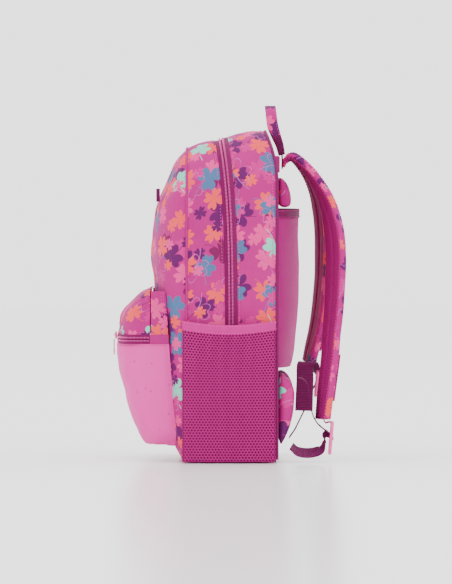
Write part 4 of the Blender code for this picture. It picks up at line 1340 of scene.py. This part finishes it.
def makeStrapFoot(side, tag, line, sides, body):
    count = len(line) - 1
    first, last = int(count * 0.80), int(count * 0.92)
    lift = -side * (strap["thick"] / 2 + 0.0016)
    places, across = [], []
    for i in range(first, last + 1):
        ahead = (line[i + 1] - line[i - 1]).normalized()
        beside = (Vector(sides[i]) - ahead * ahead.dot(Vector(sides[i]))).normalized()
        places.append(line[i] + ahead.cross(beside) * lift)
        across.append(beside)
    widths = [strapWidth(i / count) * 0.74 for i in range(first, last + 1)]
    keeper = band("strapKeeper_" + tag, places, across, widths, 0.0026, "plain", body)
    stands(keeper, "plain_fabric", "keeper_loop_" + tag)
    end, lockX = line[-1], line[-1].x
    lockTop = Vector((lockX, end.y + 0.013, end.z - 0.0025))
    makeLock(tag, lockTop)
    start = end + (line[-1] - line[-2]).normalized() * 0.0025
    tongue = [Vector((lockX, end.y, end.z + 0.006)), Vector((lockX, start.y + 0.0030, start.z - 0.0020)),
              Vector((lockX, lockTop.y - 0.0035, lockTop.z - 0.0010)),
              Vector((lockX, lockTop.y - 0.0005, lockTop.z - 0.0050))]
    wide = 0.0246
    loop = band("lockTongue_" + tag, smoothLine(tongue, 8), (1, 0, 0), [wide, wide], 0.0016, "plain", body)
    stands(loop, "plain_fabric", "lock_tongue_" + tag)
    wingX = side * 0.86 * bag["half"]

    def route(points, startX, endX, steps):
        last = len(points) - 1
        return smoothLine([(startX + (endX - startX) * i / last, bag["back"] + y, z)
                           for i, (y, z) in enumerate(points)], steps)
    lean = math.radians(30)
    if side > 0:
        lower = band("lowerWebbing_" + tag, route(nearLower, wingX, lockX, 48),
                     (math.cos(lean), 0, -math.sin(lean)), [wide, wide], 0.0016, "web", body)
        tail = band("webbingTail_" + tag, route(nearTail, lockX, lockX, 48), (1, 0, 0), [wide, wide], 0.0016,
                    "web", body)
    else:
        tailX = lockX + strapWidth(1) / 2 + 0.017
        lower = band("lowerWebbing_" + tag, route(farLower, wingX, lockX, 40), (1, 0, 0), [wide, wide],
                     0.0016, "web", body)
        hung = [Vector((tailX, bag["back"] + y, z)) for y, z in farTail]
        bar = Vector((lockX, lockTop.y - 0.0005, lockTop.z - 0.019))
        turned = [bar, bar + Vector((0.010, -0.004, 0.010)), bar + Vector((0.024, -0.011, 0.022))]
        tailLine = smoothLine(turned + hung, 60)
        tailSides = [(math.cos(t), math.sin(t), 0) for t in (min(k / 26, 1) * math.pi / 2 for k in range(61))]
        tail = band("webbingTail_" + tag, tailLine, tailSides, [wide * 0.9, wide], 0.0016, "web", body)
    for piece, node in ((lower, "lower_webbing_"), (tail, "webbing_tail_")):
        stands(piece, "webbing", node + tag)


# the moulded buckle: a rounded frame, two bars and a lip to lift it by
lock = {"wide": 0.036, "tall": 0.046, "thick": 0.0045, "bar": 0.0050, "lean": 0.004}


def makeLock(tag, top):
    body = "lock_" + tag
    down = Vector((0, -lock["lean"], -lock["tall"])).normalized()
    middle = top + down * lock["tall"] / 2
    beside = Vector((1, 0, 0))
    bar = lock["bar"]
    path = []
    a, b = lock["wide"] / 2 - bar / 2, lock["tall"] / 2 - bar / 2
    for k in range(64):
        turn = 2 * math.pi * k / 64
        x = squared(math.cos(turn), 2 / 5) * a
        y = squared(math.sin(turn), 2 / 5) * b
        path.append(middle + beside * x + down * y)
    face = beside.cross(down)
    ring = sweepLoop("ring", path, face, bar, lock["thick"], "lock")
    parts = [ring]
    for level, tall in ((-0.001, bar), (lock["tall"] / 2 - bar * 1.3, bar * 1.6)):
        line = [middle + down * level + beside * (a * (k / 6 - 1)) for k in range(13)]
        parts.append(band("bar", line, down, [tall, tall], lock["thick"], "lock", None, corners=5))
    nub = [middle + down * (lock["tall"] * 0.02) + face * (0.0012 + 0.0010 * math.sin(math.pi * k / 8))
           + beside * (0.009 * (k / 4 - 1)) for k in range(9)]
    parts.append(band("nub", nub, down, [0.0045, 0.0045], 0.0030, "plain", None, corners=4))
    whole = joined("ladderLock_" + tag, parts, body)
    stands(whole, "hardware", "ladder_lock_" + tag)


# a closed ring with a rounded rectangular section
def sweepLoop(name, path, face, wide, thick, finish):
    work = bmesh.new()
    rings = []
    count = len(path)
    for i, place in enumerate(path):
        ahead = (path[(i + 1) % count] - path[i - 1]).normalized()
        beside = ahead.cross(face).normalized()
        rings.append([work.verts.new(place + beside * (wide / 2 * squared(math.cos(t), 0.55))
                                     + face * (thick / 2 * squared(math.sin(t), 0.55)))
                      for t in (2 * math.pi * (k + 0.5) / 16 for k in range(16))])
    for i in range(count):
        one, two = rings[i], rings[(i + 1) % count]
        for k in range(16):
            n = (k + 1) % 16
            work.faces.new((one[k], one[n], two[n], two[k]))
    return pieceFrom(work, name, [finish], None, sharp=0)


# the carry handle
handle = {"half": 0.022, "rise": 0.066, "width": 0.015, "thick": 0.0035}
handleShape = [(1, 0.0070, 0), (1.1, 0.0040, 0.20), (1.2, -0.0005, 0.38), (1.1, -0.0055, 0.60),
               (0.75, -0.0080, 0.88), (0, -0.0090, 1)]
handleWidths = [0.60, 0.72, 0.86, 1, 1, 1]
handleLeg = [(0.0072, 0.4188), (0.0076, 0.410), (0.0074, 0.399)]


def makeHandle():
    foot = corner("carry_handle", 0).z + 0.0006
    right = [(handle["half"] * a, bag["back"] + y, foot + handle["rise"] * r) for a, y, r in handleShape]
    line = smoothLine(right + [(-x, y, z) for x, y, z in reversed(right[:-1])], 72)
    shares = handleWidths + handleWidths[-2::-1]
    widths = [p.x * handle["width"] for p in smoothLine([(s, 0, 0) for s in shares], 72)]

    def section(share):
        return flatSection(widths[round(share * 72)], handle["thick"], 4)

    def pick(k, share):
        return 1 if 0.20 < share < 0.80 else 0
    loop = sweep("carryHandle", line, (0, 1, 0), section, ["web", "print"], "handle", finishOf=pick)
    stands(loop, "printed_fabric", "carry_handle")
    rows = []
    for edge in (-1, 1):
        places, ups = [], []
        for i in range(16, 57):
            ahead = (line[i + 1] - line[i - 1]).normalized()
            face = ahead.cross(Vector((0, 1, 0))).normalized()
            if face.dot(line[i] - Vector((0, line[i].y, foot))) < 0:
                face = -face
            across = Vector((0, edge * (widths[i] / 2 - 0.0022), 0))
            places.append(line[i] + across + face * handle["thick"] / 2)
            ups.append(face)
        rows.append((places, ups))
    sewn("handleStitches", rows, "handle", "handle")
    for side, tag in ((-1, "left"), (1, "right")):
        leg = [(side * handle["half"], bag["back"] + y, z) for y, z in handleLeg]
        base = band("handleFoot_" + tag, smoothLine(leg, 8), (1, 0, 0), [0.011, 0.011], 0.0018, "web", pack)
    print("handle made")


# outlines as shares of half the width and of the length
sliderOutline = [(-0.62, -1), (0.62, -1), (0.86, -0.55), (0.80, 0.05), (1.0, 0.62), (0.78, 0.95), (0.28, 1),
                 (0, 0.80), (-0.28, 1), (-0.78, 0.95), (-1.0, 0.62), (-0.80, 0.05), (-0.86, -0.55)]
pullOutline = [(0.45, 0.5), (0.62, 0.30), (0.66, 0.05), (1, -0.16), (1, -0.42), (0.7, -0.5), (-0.7, -0.5),
               (-1, -0.42), (-1, -0.16), (-0.66, 0.05), (-0.62, 0.30), (-0.45, 0.5)]


# a zip slider and its pull
def makeSlider(name, node, pullName, pullNode, body, pullBody, out, along):
    low, high = corner(node, 0), corner(node, 1)
    middle = (low + high) / 2
    beside = out.cross(along)
    long = abs((high - low).dot(along)) / 2
    wide = abs((high - low).dot(beside)) / 2
    thick = min(abs((high - low).dot(out)), 0.0030)
    face = middle + out * (abs((high - low).dot(out)) / 2 - thick / 2)
    outline = [(a * wide, b * long) for a, b in sliderOutline]
    cap = plate("cap", outline, face, beside, along, thick, 0.0007, "lock", body)
    arch = [face + out * (thick / 2 - 0.0004 + 0.0019 * math.sin(math.pi * k / 12))
            + along * (long * 0.72 * (k / 6 - 1)) for k in range(13)]
    bridge = sweep("bridge", arch, beside, lambda share: roundSection(0.0009, 8), ["lock"], None)
    whole = joined(name, [cap, bridge], body)
    stands(whole, "hardware", node)
    low, high = corner(pullNode, 0), corner(pullNode, 1)
    middle = (low + high) / 2
    size = high - low
    tall, wide, thick = abs(size.dot(Vector((0, 0, 1)))), max(size.x, size.y) / 2, min(size.x, size.y)
    flat = Vector((0, 1, 0)) if size.y > size.x else Vector((1, 0, 0))
    up = Vector((0, 0, 1))
    outline = [(a * wide, b * tall) for a, b in pullOutline]
    pull = plate("pull", outline, middle, flat, up, thick, 0.00045, "coil", pullBody)
    cut = [middle + up * (tall * -0.33 + 0.0013 * k) for k in range(4)]
    ribs = [band("rib", [spot + flat * (wide * 0.6 * (m / 2 - 1)) for m in range(5)], up, [0.0007, 0.0007],
                 thick + 0.0006, "coil", None) for spot in cut]
    whole = joined(pullName, [pull, *ribs], pullBody)
    stands(whole, "hardware", pullNode)


def makeTrims():
    for tag in ("upper", "lower"):
        makeSlider(tag + "Slider", tag + "_zip_slider", tag + "Pull", tag + "_zip_pull", tag + "_slider",
                   tag + "_pull", Vector((-1, 0, 0)), Vector((0, 0, 1 if tag == "upper" else -1)))
    makeSlider("pocketSlider", "pocket_zip_slider", "pocketPull", "pocket_zip_pull", "pocket_slider",
               "pocket_pull", Vector((0, -1, 0)), Vector((1, 0, 0)))
    low, high = corner("side_label", 0), corner("side_label", 1)
    middle, tall = (low + high) / 2, high.z - low.z
    line = [Vector((middle.x, low.y + 0.0004 + (high.y - low.y - 0.0008) * k / 8, middle.z))
            for k in range(9)]
    thick = min(high.x - low.x, 0.0018)
    label = band("sideLabel", line, (0, 0, 1), [tall, tall], thick, "web", "front_cover")
    stands(label, "plain_fabric", "side_label")
    print("sliders and label made")


# what stays as the model gives it, with a real finish
def dressInside():
    kept = {"base_board": "board", "back_stiffener": "board", "back_lining": "lining",
            "divider_sleeve": "lining"}
    for node, finish in kept.items():
        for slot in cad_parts[node].material_slots:
            slot.material = looks[finish]
    print("inside dressed")


# floor, light and camera
stage = {"distance": 9.0, "turn": 90, "rise": 1.2, "aim": (0, 0, 0.2292), "view": 0.806}


def makeStage():
    scene = bpy.context.scene
    mesh = bpy.data.meshes.new("floor")
    work = bmesh.new()
    bmesh.ops.create_grid(work, x_segments=40, y_segments=40, size=9)
    for vert in work.verts:
        vert.co.z = -0.0006
    work.to_mesh(mesh)
    work.free()
    floor = linked("floor", mesh)
    look = Look("paleFloor")
    place = look.node("ShaderNodeTexCoord", {}, out=3)
    pale = look.mix(look.cloud(place, 3.0) * 0.1, (0.93, 0.93, 0.93), (0.90, 0.90, 0.90))
    look.finish(pale, 0.22, shine=0.5)
    mesh.materials.append(look.material)
    world = bpy.data.worlds.new("studio")
    scene.world = world
    world.use_nodes = True
    world.node_tree.nodes["Background"].inputs[0].default_value = (1, 1, 1, 1)
    world.node_tree.nodes["Background"].inputs[1].default_value = 2.5
    lights = [((3.2, -2.2, 3.2), 2.2, 34), ((3.0, 2.6, 2.2), 2.4, 14), ((-2.6, 0.4, 3.0), 2.4, 16),
              ((0.6, -0.2, 4.2), 2.6, 22)]
    for place, size, power in lights:
        lamp = bpy.data.lights.new("softLight", "AREA")
        lamp.size, lamp.energy = size, power
        holder = linked("softLight", lamp)
        holder.location = place
        holder.rotation_euler = (Vector(stage["aim"]) - Vector(place)).to_track_quat("-Z", "Y").to_euler()
    lens = bpy.data.cameras.new("camera")
    lens.sensor_width, lens.sensor_fit = 36.0, "AUTO"
    lens.lens = 36.0 * stage["distance"] / stage["view"]
    lens.clip_end = 60
    camera = linked("camera", lens)
    rise, turn = math.radians(stage["rise"]), math.radians(stage["turn"])
    aim = Vector(stage["aim"])
    away = Vector((math.sin(turn) * math.cos(rise), -math.cos(turn) * math.cos(rise), math.sin(rise)))
    camera.location = aim + away * stage["distance"]
    camera.rotation_euler = (-away).to_track_quat("-Z", "Y").to_euler()
    scene.camera = camera
    print("stage made")


makeStage()
makeBody()
makeMainZip()
makeSeams()
makeBase()
makeBack()
makePads()
makeSleeve()
makePocket()
makeSidePockets()
makeStraps()
makeHandle()
makeTrims()
dressInside()
